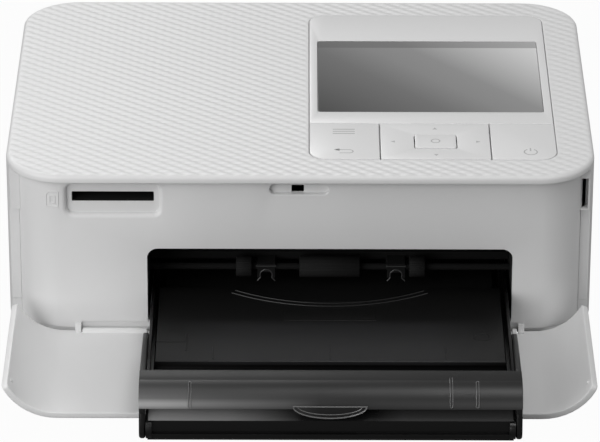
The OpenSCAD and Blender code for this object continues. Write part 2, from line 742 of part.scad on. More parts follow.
module main_board() place() color("darkgreen") {
    block([-86, 26, 8], [-84.6, 112, 44]);
    for (p = [[40, 20], [66, 28], [90, 16]])
        block([-84.6, p[0], p[1]], [-83.4, p[0] + 12, p[1] + 9]);
}
module card_socket() place() color("silver") {
    difference() {
        block([-71.6, 7.1, 46.1], [-43.7, 34, 51]);
        block([-70.2, 7, 46.7], [-45.1, 33, 49.9]);
    }
    block([-76, 8, 45.4], [-53, 38, 46.6]);
}
module usb_socket() place() color("silver") difference() {
    block([usb_x() - 4.5, 123, 12.9], [usb_x() + 4.5, 131.5, 16.1]);
    block([usb_x() - 4, 125, 13.4], [usb_x() + 4, 132, 15.6]);
}
module dc_jack() place() color([0.1, 0.1, 0.1]) {
    difference() {
        block([jack_x() - 5, 118.6, 10.3], [jack_x() + 5, body_d - wall - 0.1, 19.2]);
        along_y(121, far) translate([jack_x(), 14.5]) circle(3.1);
    }
    along_y(121, 131) translate([jack_x(), 14.5]) circle(0.8);
}

// ---- paper cassette ----

module tray_outline() {
    // y-z outline of a side wall, with its rounded front arm
    polygon([[pivot_c[0], pivot_c[1] - cheek_r], [-54, 1.2], [-52.6, tray_z], [tray_y1, tray_z],
        [tray_y1, tray_rear_z], [6, tray_rear_z], [3, tray_wall_z], [-48, tray_wall_z], [-60, 10],
        [pivot_c[0], pivot_c[1] + cheek_r]]);
    translate(pivot_c) circle(cheek_r);
}

module cassette_tray() place() color([0.08, 0.08, 0.08]) difference() {
    union() {
        for (x = [cass_x - tray_w / 2, cass_x + tray_w / 2 - tray_t])
            along_x(x, x + tray_t) tray_outline();
        along_x(cass_x - tray_w / 2 + 0.5, cass_x + tray_w / 2 - 0.5) {
            translate([-53.4, tray_z]) square([tray_y1 + 53.4, tray_floor_t]);
            translate([tray_y1 - 2, tray_z]) square([2, tray_rear_wall_z - tray_z]);
            // front: bottom bar, glossy wall and the slope over it
            polygon([[-53.4, 1], [-63.8, 1], [-64.4, 2], [-64.4, 3.2], [-63.4, 3.4], [-63.4, 7.4],
                [-60.6, 10], [-58.6, 10], [-61.4, 6.8], [-61.4, 2.4], [-53.4, 2.4]]);
            translate([-54.4, 1]) square([1.4, tray_z]);
        }
    }
    rod(-far, cass_x - tray_w / 2 + 1, pivot_c, 1.3);
    rod(cass_x + tray_w / 2 - 1, far, pivot_c, 1.3);
    rod(cass_x - 54.2, cass_x + 54.2, lifter_c, 0.7 + run_gap);
    // the side walls are thin beside the inner lid
    block([cass_x - tray_w / 2 + 0.8, -49, 12.4], [cass_x + tray_w / 2 - 0.8, tray_y1 - 2.1, far]);
    // clearance for the catch hook of the door
    block([-3.7, -50, 5], [2.3, -45, 8]);
}

module inner_lid() place() color([0.1, 0.1, 0.1]) {
    difference() {
        // the front end steps down into a trough under the hinged lid
        along_x(cass_x - 53.2, cass_x + 53.2)
            polygon([[-49, step_z - lid_t], [-37.3, step_z - lid_t], [-37.3, lid_z - lid_t],
                [arc_y1, lid_z - lid_t], [arc_y1, lid_z], [-38.5, lid_z], [-38.5, step_z], [-49, step_z]]);
        translate([cass_x, arc_c_y(), 0]) cylinder(h = far, r = arc_r(), $fn = 96);
    }
}
function arc_r() = (pow(arc_half, 2) + pow(arc_y1 - arc_y0, 2)) / (2 * (arc_y1 - arc_y0));
function arc_c_y() = arc_y0 + arc_r();

module lifter_plate() place() color("gray") difference() {
    union() {
        block([cass_x - 51.5, 12, 7.3], [cass_x + 51.5, lifter_c[0], 8]);
        rod(cass_x - 54, cass_x + 54, lifter_c, 0.7);
    }
    for (s = [-1, 1])
        block([cass_x + s * 36 - 6, 70, 0], [cass_x + s * 36 + 6, 80, far]);
}

module hood_outline() {
    difference() {
        intersection() {
            translate(hood_c) circle(hood_r);
            translate([hood_c[0] - hood_r, 12.2]) square([hood_r, far]);
        }
        translate(hood_c) circle(hood_r - hood_t);
    }
    translate([hood_c[0], hood_c[1] + hood_r - hood_t]) square([hood_y1 - hood_c[0], hood_t]);
}
module cheek_outline() {
    translate(pivot_c) circle(cheek_r);
    polygon([[pivot_c[0] - cheek_r, pivot_c[1]], [-64.9, 12.4], [-63.2, 15.6], [-60.4, 17.6], [-57.5, 18.2],
        [-49, 18.2], [-42, 17.6], [-30, 16.4], [-23, 15.4], [-21.4, 14.4], [-21.2, 12.9], [-22.4, 11.6],
        [-25, 11.4], [-46, 12.6], [-52, 12], [-58, 8], [pivot_c[0] + cheek_r, pivot_c[1]]]);
}
module outer_lid() place() color([0.3, 0.3, 0.32, 0.6]) {
    cheek_x = tray_w / 2 + cheek_gap;
    along_x(cass_x - cheek_x - cheek_t, cass_x + cheek_x + cheek_t) hood_outline();
    for (x = [cass_x - cheek_x - cheek_t, cass_x + cheek_x])
        along_x(x, x + cheek_t) cheek_outline();
    // stub pins in the tray's arms
    rod(cass_x - cheek_x - 0.1, cass_x - cheek_x + 0.9, pivot_c, 1.2);
    rod(cass_x + cheek_x - 0.9, cass_x + cheek_x + 0.1, pivot_c, 1.2);
    // thumb tab
    intersection() {
        along_y(-65.6, -64.3) translate([cass_x, 12.6]) scale([2.9, 1]) circle(4);
        block([-far, -far, 0], [far, 0, 12.8]);
    }
}

top_cover();
body_case();
bottom_case();
front_bezel();
rubber_feet();
case_screws();
hinge_pins();
front_door();
ink_door();
panel_frame();
lcd_glass();
lcd_module();
key_board();
key_domes();
panel_flex();
menu_key();
power_key();
nav_carrier();
nav_plate();
ok_button();
bay_liner();
pickup_beam();
paper_guide();
chassis_left();
chassis_right();
chassis_ties();
shaft_bushes();
motor_bracket();
main_board();
card_socket();
usb_socket();
dc_jack();
pickup_shaft();
pickup_rollers();
pickup_gear();
feed_roller();
feed_gear();
pinch_roller();
idler_gear();
platen_roller();
platen_gear();
feed_motor();
feed_pinion();
ribbon_motor();
ribbon_pinion();
takeup_drive();
supply_brake();
head_arm();
thermal_head();
heat_sink();
head_cam();
ink_case();
supply_spool();
takeup_spool();
ribbon_web();
ink_lever();
cassette_tray();
inner_lid();
lifter_plate();
outer_lid();
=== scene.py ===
"""Compact photo printer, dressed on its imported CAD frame. Lengths are written in the printer's own
millimetres (x from the middle, y from the front edge of the top cover, z from the table) and
printer_mm() turns them to the row frame in metres."""
import bmesh
import bpy
import numpy as np
from mathutils.geometry import delaunay_2d_cdt
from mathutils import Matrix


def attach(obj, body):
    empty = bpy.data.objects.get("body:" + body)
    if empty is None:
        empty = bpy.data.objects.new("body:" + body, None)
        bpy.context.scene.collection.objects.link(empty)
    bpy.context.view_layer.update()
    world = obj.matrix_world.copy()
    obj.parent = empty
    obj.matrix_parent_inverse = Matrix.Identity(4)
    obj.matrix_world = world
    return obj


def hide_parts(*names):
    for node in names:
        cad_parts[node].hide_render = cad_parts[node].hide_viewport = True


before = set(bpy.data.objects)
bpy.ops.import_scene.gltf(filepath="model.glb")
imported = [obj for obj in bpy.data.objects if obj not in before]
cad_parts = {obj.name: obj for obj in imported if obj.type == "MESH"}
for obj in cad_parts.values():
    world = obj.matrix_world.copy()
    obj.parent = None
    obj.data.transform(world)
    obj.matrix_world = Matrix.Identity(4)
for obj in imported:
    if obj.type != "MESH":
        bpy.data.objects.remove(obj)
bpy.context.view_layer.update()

# ---------------------------------------------------------------------------------------------
# Studio: a pale table top and plain soft boxes. The camera stands where the photograph's did,
# 1.2 m in front and 0.64 m up, with a long lens.

scene = bpy.context.scene
scene.view_settings.view_transform = "Standard"


def linear(code, alpha=1.0):
    """sRGB hex code to linear colour: c/12.92 up to 0.04045, else ((c + 0.055) / 1.055) ** 2.4."""
    c = np.array([int(code[i:i + 2], 16) for i in (1, 3, 5)]) / 255
    return (*np.where(c <= 0.04045, c / 12.92, ((c + 0.055) / 1.055) ** 2.4), alpha)


def add(tree, kind, values=(), links=(), **settings):
    """Adds a shader node, with its settings, its sockets' values and its links."""
    n = tree.nodes.new(kind)
    for field, value in settings.items():
        setattr(n, field, value)
    for socket, value in dict(values).items():
        n.inputs[socket].default_value = value
    for socket, source in dict(links).items():
        tree.links.new(source, n.inputs[socket])
    return n


def new_material(name):
    """An empty node material and its tree with a Principled shader on the output."""
    m = bpy.data.materials.new(name)
    m.use_nodes = True
    m.node_tree.nodes.clear()
    shader = add(m.node_tree, "ShaderNodeBsdfPrincipled")
    add(m.node_tree, "ShaderNodeOutputMaterial", links={"Surface": shader.outputs[0]})
    return m, m.node_tree, shader


def printer_mm(points):
    """Printer millimetres to the row frame: y is counted from the middle of the footprint."""
    return (np.asarray(points, float) - (0.0, 33.5, 0.0)) / 1000


camera = bpy.data.objects.new("camera", bpy.data.cameras.new("camera"))
scene.collection.objects.link(camera)
scene.camera = camera
camera.location = printer_mm((0.0, -1194.6, 641.2))
camera.rotation_mode = "ZXY"
camera.rotation_euler = np.radians((90 - 26.63, 0, 0.15))
camera.data.sensor_width = 36
camera.data.lens = 260.7
camera.data.clip_start = 0.05

for name, place, aim, size, power in (
        ("back_box", (-250, 800, 600), (0, 60, 40), 0.4, 2.7),
        ("front_box", (220, -220, 950), (0, -20, 20), 0.4, 2.15),
        ("left_box", (-360, -360, 230), (-50, 0, 20), 0.5, 1.9),
        ("right_box", (700, -100, 400), (0, 60, 30), 0.5, 0.85)):
    lamp = bpy.data.objects.new(name, bpy.data.lights.new(name, "AREA"))
    scene.collection.objects.link(lamp)
    lamp.data.shape = "SQUARE"
    lamp.data.size = size
    lamp.data.energy = power
    lamp.location = printer_mm(place)
    back = lamp.location - type(lamp.location)(printer_mm(aim))
    lamp.rotation_euler = back.to_track_quat("Z", "Y").to_euler()

# The world is white to the camera and through clear plastic, and dim as a light.
world = bpy.data.worlds.new("studio")
scene.world = world
world.use_nodes = True
world.node_tree.nodes.clear()
path = add(world.node_tree, "ShaderNodeLightPath")
seen = add(world.node_tree, "ShaderNodeMath", operation="MAXIMUM",
           links={0: path.outputs["Is Camera Ray"], 1: path.outputs["Is Transmission Ray"]})
dim = add(world.node_tree, "ShaderNodeBackground", {"Color": (1, 1, 1, 1), "Strength": 0.245})
white = add(world.node_tree, "ShaderNodeBackground", {"Color": (1, 1, 1, 1), "Strength": 1.0})
mixed = add(world.node_tree, "ShaderNodeMixShader",
            links={0: seen.outputs[0], 1: dim.outputs[0], 2: white.outputs[0]})
add(world.node_tree, "ShaderNodeOutputWorld", links={"Surface": mixed.outputs[0]})

# Grey paper that the camera sees 97 % white, so that the object's shadow stays faintly on it.
floor_mat = bpy.data.materials.new("matt_paper_sweep")
floor_mat.use_nodes = True
tree = floor_mat.node_tree
tree.nodes.clear()
path = add(tree, "ShaderNodeLightPath")
paper = add(tree, "ShaderNodeBsdfDiffuse", {"Color": linear("#808080")})
glow = add(tree, "ShaderNodeEmission", {"Color": (1, 1, 1, 1), "Strength": 1.0})
share = add(tree, "ShaderNodeMath", {1: 0.97}, {0: path.outputs["Is Camera Ray"]},
            operation="MULTIPLY")
mixed = add(tree, "ShaderNodeMixShader",
            links={0: share.outputs[0], 1: paper.outputs[0], 2: glow.outputs[0]})
add(tree, "ShaderNodeOutputMaterial", links={"Surface": mixed.outputs[0]})
floor = bpy.data.objects.new("floor", bpy.data.meshes.new("floor"))
floor.data.from_pydata([(-6, -6, 0), (6, -6, 0), (6, 6, 0), (-6, 6, 0)], [], [(0, 1, 2, 3)])
floor.data.materials.append(floor_mat)
scene.collection.objects.link(floor)

# ---------------------------------------------------------------------------------------------
# Case shell: one moulded wall round the sides and the rear, 2.2 mm thick, with the side door's
# opening, the rear paper slot and the vents. Its front edges are where the front door's wings shut.


def grained_finish(name, code, roughness, grain_mm, grain_depth):
    """Moulded plastic: a spark-eroded grain of grain_mm, drawn about twice as coarse as it is so
    that it shows, and a faint unevenness of gloss over 45 mm."""
    m, t, shader = new_material(name)
    where = add(t, "ShaderNodeTexCoord").outputs["Object"]
    grain = add(t, "ShaderNodeTexNoise", {"Scale": 1000 / grain_mm, "Detail": 2.0},
                {"Vector": where})
    cloud = add(t, "ShaderNodeTexNoise", {"Scale": 22.0, "Detail": 2.0}, {"Vector": where})
    gloss = add(t, "ShaderNodeMapRange", {"To Min": roughness - 0.03, "To Max": roughness + 0.03},
                {"Value": cloud.outputs[0]})
    bump = add(t, "ShaderNodeBump", {"Strength": 0.35, "Distance": grain_depth / 1000},
               {"Height": grain.outputs[0]})
    shader.inputs["Base Color"].default_value = linear(code)
    shader.inputs["IOR"].default_value = 1.53
    t.links.new(gloss.outputs[0], shader.inputs["Roughness"])
    t.links.new(bump.outputs[0], shader.inputs["Normal"])
    return m


def finish_mesh(name, mesh, material, body, replaced, sharp=32):
    """Links a mesh as a piece: welded, faces outwards, smooth between edges, riding on its body."""
    work = bmesh.new()
    work.from_mesh(mesh)
    bmesh.ops.remove_doubles(work, verts=work.verts, dist=2e-6)
    bmesh.ops.recalc_face_normals(work, faces=work.faces)
    work.to_mesh(mesh)
    work.free()
    mesh.shade_smooth()
    mesh.set_sharp_from_angle(angle=np.radians(sharp))
    mesh.materials.clear()
    mesh.materials.append(material)
    piece = bpy.data.objects.new(name, mesh)
    scene.collection.objects.link(piece)
    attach(piece, body)
    if replaced:
        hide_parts(*replaced)
    return piece


def softened_copy(node, material, body, edge_mm):
    """The CAD node's form with its flat facets joined, its hard edges rounded by edge_mm."""
    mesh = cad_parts[node].data.copy()
    work = bmesh.new()
    work.from_mesh(mesh)
    bmesh.ops.remove_doubles(work, verts=work.verts, dist=2e-6)
    bmesh.ops.dissolve_limit(work, angle_limit=np.radians(0.4), verts=work.verts, edges=work.edges)
    work.to_mesh(mesh)
    work.free()
    piece = finish_mesh(node + "_moulding", mesh, material, body, [node])
    bevel = piece.modifiers.new("edges", "BEVEL")
    bevel.width = edge_mm / 1000
    bevel.segments = 2
    bevel.limit_method = "ANGLE"
    bevel.angle_limit = np.radians(40)
    bevel.use_clamp_overlap = True
    weigh = piece.modifiers.new("normals", "WEIGHTED_NORMAL")
    weigh.keep_sharp = True
    return piece


# Satin white ABS: soft wide highlights over a fine grain.
shell_abs = grained_finish("abs_satin_white", "#E6E6E6", 0.42, 0.5, 0.02)
softened_copy("body_case", shell_abs, "printer", 0.2)
softened_copy("bottom_case", shell_abs, "printer", 0.15)
softened_copy("ink_door", shell_abs, "side_door", 0.25)

# ---------------------------------------------------------------------------------------------
# Top cover: ABS like the shell, moulded with a raised diamond pattern. It overhangs the front and
# its upper edge is rounded; the control panel sits in its opening.

BODY_W, BODY_D, CORNER = 182.2, 133.0, 18.0


def arc(cx, cy, r, a0, a1, n):
    """n + 1 points on a circle from angle a0 to a1, in degrees."""
    a = np.radians(np.linspace(a0, a1, n + 1))
    return np.c_[cx + r * np.cos(a), cy + r * np.sin(a)]


def round_rect(cx, cy, w, d, r, n=8, step=None):
    """Counter-clockwise outline of a rectangle with corner radius r."""
    x, y = w / 2 - r, d / 2 - r
    p = np.vstack([arc(cx + x, cy - y, r, -90, 0, n), arc(cx + x, cy + y, r, 0, 90, n),
                   arc(cx - x, cy + y, r, 90, 180, n), arc(cx - x, cy - y, r, 180, 270, n)])
    return along(p, step) if step else p


def along(outline, step):
    """The closed outline with points added so that no side is longer than step."""
    ends = np.roll(outline, -1, axis=0)
    counts = [max(1, int(np.ceil(np.hypot(*(b - a)) / step))) for a, b in zip(outline, ends)]
    return np.vstack([a + (b - a) * np.linspace(0, 1, n, endpoint=False)[:, None]
                      for a, b, n in zip(outline, ends, counts)])


def inside(points, outlines):
    """Even-odd test: is each point inside the region between the outlines."""
    hits = np.zeros(len(points), bool)
    for o in outlines:
        a, b = o, np.roll(o, -1, axis=0)
        for part in np.array_split(np.arange(len(points)), max(1, len(points) // 4000)):
            x, y = points[part, 0][:, None], points[part, 1][:, None]
            crosses = (a[:, 1] > y) != (b[:, 1] > y)
            with np.errstate(divide="ignore", invalid="ignore"):
                at = a[:, 0] + (y - a[:, 1]) / (b[:, 1] - a[:, 1]) * (b[:, 0] - a[:, 0])
            hits[part] ^= (crosses & (x < at)).sum(1) % 2 == 1
    return hits


def moulding(outlines, back, front, soft, place, fill=None, soft_back=0.0, steps=4):
    """Vertices and faces of a plate between the heights back and front. Each outline has the plate on
    its left: the outer one runs counter-clockwise and holes clockwise. Its edge turns into the front
    face on a quarter circle of radius soft (one for all outlines, or one each), and into the back
    face on soft_back. fill gives inner points for a plate that place() bends. place() takes the
    (a, b, height) rows to printer millimetres."""
    soft = [soft] * len(outlines) if np.isscalar(soft) else soft
    points, faces, start = [], [], 0
    lids = ([], [])
    for o, r in zip(outlines, soft):
        e = np.roll(o, -1, axis=0) - o
        n = np.c_[-e[:, 1], e[:, 0]] / np.hypot(e[:, 0], e[:, 1])[:, None]
        before = np.roll(n, 1, axis=0)
        mitre = (before + n) / (1 + (before * n).sum(1))[:, None]
        t = np.linspace(0, np.pi / 2, steps + 1)
        rows = [(soft_back * (1 - np.cos(a)), back + soft_back * (1 - np.sin(a)))
                for a in t[::-1]] if soft_back else [(0, back)]
        rows += [(r * (1 - np.cos(a)), front - r * (1 - np.sin(a)))
                 for a in t] if r else [(0, front)]
        grid = np.stack([np.c_[o + mitre * inset, np.full(len(o), h)] for inset, h in rows])
        k, m = len(rows), len(o)
        i = np.arange(m)
        for row in range(k - 1):
            a, b = start + row * m, start + (row + 1) * m
            faces += np.c_[a + i, a + (i + 1) % m, b + (i + 1) % m, b + i].tolist()
        points.append(grid.reshape(-1, 3))
        lids[0].append(grid[0])
        lids[1].append(grid[-1])
        start += k * m
    for rings, flip in zip(lids, (True, False)):
        flat = [g[:, :2] for g in rings]
        edges, n = [], 0
        for g in flat:
            i = np.arange(len(g))
            edges += (np.c_[i, (i + 1) % len(g)] + n).tolist()
            n += len(g)
        cloud = np.vstack(flat + ([] if fill is None else [fill[inside(fill, flat)]]))
        spots, _, tris = delaunay_2d_cdt([tuple(p) for p in cloud], edges, [], 1, 1e-6)[:3]
        spots = np.array([tuple(p) for p in spots])
        tris = np.array([f for f in tris if len(f) == 3], int)
        tris = tris[inside(spots[tris].mean(1), flat)]
        points.append(np.c_[spots, np.full(len(spots), rings[0][0, 2])])
        faces += ((tris[:, ::-1] if flip else tris) + start).tolist()
        start += len(spots)
    return printer_mm(place(np.vstack(points))), faces


def joined(parts):
    """One mesh from several (vertices, faces) pairs."""
    mesh = bpy.data.meshes.new("mesh")
    faces, n = [], 0
    for v, f in parts:
        faces += [[i + n for i in face] for face in f]
        n += len(v)
    mesh.from_pydata(np.vstack([v for v, _ in parts]).tolist(), [], faces)
    return mesh


def upright(p):
    """Outlines in x and y, height is z."""
    return p


def gap_to_round_rect(p, cx, cy, w, d, r):
    """Distance from each point to the outline of a rounded rectangle, above 0 inside it."""
    q = np.abs(p[:, :2] - (cx, cy)) - (w / 2 - r, d / 2 - r)
    return r - np.hypot(*np.maximum(q, 0).T) - np.minimum(q.max(1), 0)


COVER = (0, BODY_D / 2, BODY_W, BODY_D, CORNER)
PANEL_X, PANEL_Y, PANEL_W, PANEL_D, PANEL_R = 41.2, 67.15, 76.6, 109.3, 5.5
OPENING = (PANEL_X, PANEL_Y, PANEL_W + 0.4, PANEL_D + 0.4, PANEL_R + 0.2)
CELL_X, CELL_Y, RELIEF = 5.1, 3.9, 0.2
COVER_BACK, COVER_TOP = 54.9, 57.3


def diamonds(p):
    """Relief of the top: RELIEF * cos(2 pi x / CELL_X) * cos(2 pi y / CELL_Y), which has its high
    points on a diamond lattice, faded out over the rounded edge and beside the panel."""
    rim = gap_to_round_rect(p, *COVER)
    panel = -gap_to_round_rect(p, *OPENING)
    fade = np.clip((rim - 0.6) / 1.0, 0, 1) * np.clip((panel - 0.1) / 0.8, 0, 1)
    fade *= p[:, 2] > (COVER_BACK + COVER_TOP) / 2
    wave = np.cos(2 * np.pi * p[:, 0] / CELL_X) * np.cos(2 * np.pi * p[:, 1] / CELL_Y)
    return np.c_[p[:, :2], p[:, 2] + RELIEF * wave * fade]


def lattice(across, along_it):
    """Every pair of the two rows of numbers, as points."""
    return np.stack(np.meshgrid(across, along_it), -1).reshape(-1, 2)


plan = round_rect(*COVER, n=36, step=0.8)
opening = round_rect(*OPENING, n=12, step=0.8)[::-1]
grid = lattice(np.arange(-BODY_W / 2, BODY_W / 2, CELL_X / 8), np.arange(0, BODY_D, CELL_Y / 8))
grid = grid[(gap_to_round_rect(grid, *COVER) > 1.6) & (gap_to_round_rect(grid, *OPENING) < -0.7)]
cover = joined([moulding([plan, opening], COVER_BACK, COVER_TOP, [1.2, 0.25], diamonds, grid,
                         soft_back=0.2)])
# The same ABS, a little duller, because the pattern scatters the light, and a shade darker as painted shade.
top_abs = grained_finish("abs_white_diamond_top", "#E4E4E4", 0.45, 0.5, 0.02)
finish_mesh("textured_cover", cover, top_abs, "printer", ["top_cover"], sharp=50)

# ---------------------------------------------------------------------------------------------
# Front bezel: the white wall behind the folded door. It is bent from one outline, with the bay,
# the recess of the card slot, the capsule of the door's catch and the lugs of the hinge.


def wrap(corner_r, spots):
    """A wall bent round the plan. a runs along the outer face from the front's middle, to the right
    and on round the rear, b is z, and height is counted outwards from the outer face. The point is
    that of the core rectangle's edge plus (corner_r + height) along the turning direction."""
    a, b, side = BODY_W / 2 - CORNER, BODY_D - 2 * CORNER, CORNER
    turn = np.pi / 2 * corner_r
    knots = np.cumsum([0, a, turn, b, turn, 2 * a, turn, b, turn, a])
    s, rear = np.mod(spots[:, 0], knots[-1]), side + b
    x = np.interp(s, knots, [0, a, a, a, a, -a, -a, -a, -a, 0])
    y = np.interp(s, knots, [side, side, side, rear, rear, rear, rear, side, side, side])
    angle = np.radians(np.interp(s, knots, [-90, -90, 0, 0, 90, 90, 180, 180, 270, 270]))
    reach = corner_r + spots[:, 2]
    return np.c_[x + reach * np.cos(angle), y + reach * np.sin(angle), spots[:, 1]]


BEZEL_R = CORNER - 2.8
bezel_end = BODY_W / 2 - CORNER + BEZEL_R * np.arccos((CORNER - 13) / BEZEL_R)
bay = np.vstack([[(-47.3, 5.6)], arc(-44.0, 27.8, 3.3, 180, 90, 8), arc(62.6, 27.8, 3.3, 90, 0, 8),
                 [(65.9, 5.6)]])
edge = np.vstack([[(-bezel_end, 3.6), (-68.05, 3.6), (-68.05, 5.6)], bay,
                  [(68.05, 5.6), (68.05, 3.6), (bezel_end, 3.6), (bezel_end, 54.85), (-bezel_end, 54.85)]])
CARD_X, CARD_Z, SLOT_Z = -57.65, 47.85, 48.3
CATCH_X, CATCH_Z = -0.3, 51.55
card_recess = round_rect(CARD_X, CARD_Z, 28.6, 9.9, 2.0)
catch_recess = round_rect(CATCH_X, CATCH_Z, 18.0, 3.3, 1.6)
bend = lattice(np.arange(-90, 91, 1.5), np.arange(5, 54, 4.0))
bend = bend[np.abs(bend[:, 0]) > 74]


def on_bezel(p):
    """The bezel's wall, bent round its corners."""
    return wrap(BEZEL_R, p)


walls = moulding([along(edge, 3), card_recess[::-1], catch_recess[::-1]], -2.2, 0,
                 [0.08, 1.4, 0.5], on_bezel, bend)


def facing(y):
    """Outlines in x and z, height counted forwards from the plane y."""
    return lambda p: np.c_[p[:, 0], y - p[:, 2], p[:, 1]]


slot = round_rect(CARD_X, SLOT_Z, 25.3, 3.2, 0.3, n=3)
card_pan = moulding([round_rect(CARD_X, CARD_Z, 31, 12.6, 3), slot[::-1]], -2.4, 0, [0, 0.1],
                    facing(4.6))
throat = round_rect(CARD_X, SLOT_Z, 24.9, 2.9, 0.2, n=3)
card_throat = moulding([round_rect(CARD_X, SLOT_Z, 25.26, 3.16, 0.28, n=3), throat[::-1]],
                       -2.5, -0.06, 0, facing(4.6))
catch_hole = round_rect(-0.7, 51.2, 3.8, 2.4, 0.3, n=3)
catch_pan = moulding([round_rect(CATCH_X, CATCH_Z, 20, 5.4, 2), catch_hole[::-1]], -0.7, 0,
                     [0, 0.15], facing(4.4))


def ring_faces(rows, count, first=0):
    """Quads between neighbouring rows of a closed band, each row having count points."""
    i, j = np.meshgrid(np.arange(rows - 1), np.arange(count), indexing="ij")
    a, b = first + i * count + j, first + i * count + (j + 1) % count
    return np.stack([a, b, b + count, a + count], -1).reshape(-1, 4).tolist()


def turned(profile, segments=48):
    """Surface of revolution: rows of (height, radius) turned round the height axis, in local
    coordinates (a, b, height), ends closed by the profile's own zero radius."""
    t = np.linspace(0, 2 * np.pi, segments, endpoint=False)
    h, r = np.asarray(profile, float).T
    grid = np.stack([r[:, None] * np.cos(t), r[:, None] * np.sin(t),
                     np.repeat(h[:, None], segments, 1)], -1)
    return grid.reshape(-1, 3), ring_faces(len(h), segments)


def bar_x(x0, x1, y, z, r, soft=0.2, segments=40):
    """Closed round bar along x with softened ends."""
    t = np.linspace(0, np.pi / 2, 4)
    lo = [(x0 + soft * (1 - np.sin(a)), r - soft * (1 - np.cos(a))) for a in t[::-1]]
    hi = [(x1 - soft * (1 - np.sin(a)), r - soft * (1 - np.cos(a))) for a in t]
    v, f = turned([(x0, 0)] + lo + hi + [(x1, 0)], segments)
    return printer_mm(np.c_[v[:, 2], y + v[:, 0], z + v[:, 1]]), f


def crosswise(p):
    """Outlines in y and z, height is x."""
    return np.c_[p[:, 2], p[:, 0], p[:, 1]]


HINGE_Y, HINGE_Z, BARREL_R = 1.5, 2.4, 1.5
lugs = []
for x in (-70.0, 68.1):
    lug = np.vstack([arc(HINGE_Y, HINGE_Z, BARREL_R, 110, 320, 14),
                     [(3.2, 3.6), (4.9, 3.7), (4.9, 5.2), (1.9, 5.2)]])
    lugs.append(moulding([lug], x, x + 1.9, 0.2, crosswise, soft_back=0.2))
hinge_back = [moulding([round_rect((a + b) / 2, 4.8, b - a, 2.4, 0.2, n=2)], -1.6, 0, 0, facing(3.3))
              for a, b in ((-68.5, -46.8), (65.4, 68.5))]


def card_outline(x0, z0, x1, z1, cut_x, cut_z):
    """A card with one corner cut, about the middle of the mark beside the slot."""
    corners = [(x0, z0), (x1, z0), (x1, z1), (cut_x, z1), (x0, cut_z)]
    return along(np.array(corners) + (-76.4, 48.0), 1)


card_mark = [moulding([card_outline(*outer), card_outline(*hole)[::-1]], -0.1, 0.16, 0.06, on_bezel)
             for outer, hole in (((-2.1, -2.7, 2.1, 2.7, -0.9, 1.5), (-1.7, -2.3, 1.7, 2.3, -0.75, 1.35)),
                                 ((-0.9, -1.5, 1.1, 1.3, -0.3, 0.7), (-0.55, -1.15, 0.75, 0.95, -0.2, 0.55)))]
# The shell's ABS, seen at a flatter angle, and a shade darker as painted shade.
bezel_abs = grained_finish("abs_satin_white_bezel", "#E3E3E3", 0.4, 0.5, 0.02)
finish_mesh("bezel_wall", joined([walls, card_pan, catch_pan] + card_mark + lugs + hinge_back), bezel_abs,
            "printer", ["front_bezel"])

# ---------------------------------------------------------------------------------------------
# Front door: ABS, 2 mm thick, folded forwards flat. Its ends rise as wings, because they are the
# rounded front corners of the case; barrels on its lower edge turn on steel pins.

DOOR_R = CORNER
door_end = BODY_W / 2 - CORNER + DOOR_R * np.arccos((CORNER - 11) / DOOR_R)


def folded(p):
    """The closed door's wall, turned forwards by a right angle about the hinge."""
    q = wrap(DOOR_R, p)
    return np.c_[q[:, 0], HINGE_Y - (q[:, 2] - HINGE_Z), HINGE_Z + (q[:, 1] - HINGE_Y)]


LEAF_Z0, LEAF_Z1 = 1.6, 54.7
leaf = round_rect(0, (LEAF_Z0 + LEAF_Z1) / 2, 2 * door_end, LEAF_Z1 - LEAF_Z0, 1.6, n=5)
bend = lattice(np.arange(-93, 94, 1.2), np.arange(4, 54, 5.0))
bend = bend[np.abs(bend[:, 0]) > 71]
door = [moulding([along(leaf, 2.5)], -2, 0, 0.45, folded, bend, soft_back=0.35)]
door += [bar_x(a, b, HINGE_Y, HINGE_Z, BARREL_R) for a, b in ((-67.7, -47.6), (66.3, 67.7))]
hook = np.array([(1.6, 50.6), (3.4, 50.5), (3.6, 50.1), (4.0, 50.1), (4.2, 50.4), (4.2, 51.6),
                 (4.0, 51.8), (1.6, 51.8)])


def folded_hook(p):
    """Outlines in the closed door's y and z, height is x, turned with the door."""
    return np.c_[p[:, 2], HINGE_Y - (p[:, 1] - HINGE_Z), HINGE_Z + p[:, 0] - HINGE_Y]


door.append(moulding([hook[::-1]], -2.2, 0.8, 0.15, folded_hook, soft_back=0.15))
t = np.linspace(-np.pi / 2, np.pi / 2, 9)
for side in (-1, 1):
    v, f = turned(np.c_[0.7 * np.sin(t), 0.7 * np.cos(t)], 20)
    bump = (side * 87.1, HINGE_Y - (49.4 - HINGE_Z), HINGE_Z + 9.9 - HINGE_Y)
    door.append((printer_mm(v + bump), f))
# The shell's ABS from another mould, a shade lighter as painted light.
door_abs = grained_finish("abs_satin_white_door", "#E8E8E8", 0.42, 0.5, 0.02)
finish_mesh("folded_door", joined(door), door_abs, "front_door", ["front_door"])

# ---------------------------------------------------------------------------------------------
# Control panel: a smooth white frame that stands 0.2 mm above the diamonds, with the display
# glass laid in flush.

WINDOW_Y, WINDOW_W, WINDOW_D, PANEL_Z = 73.7, 71.2, 54.2, 57.5
NAV = (42.1, 24.8)
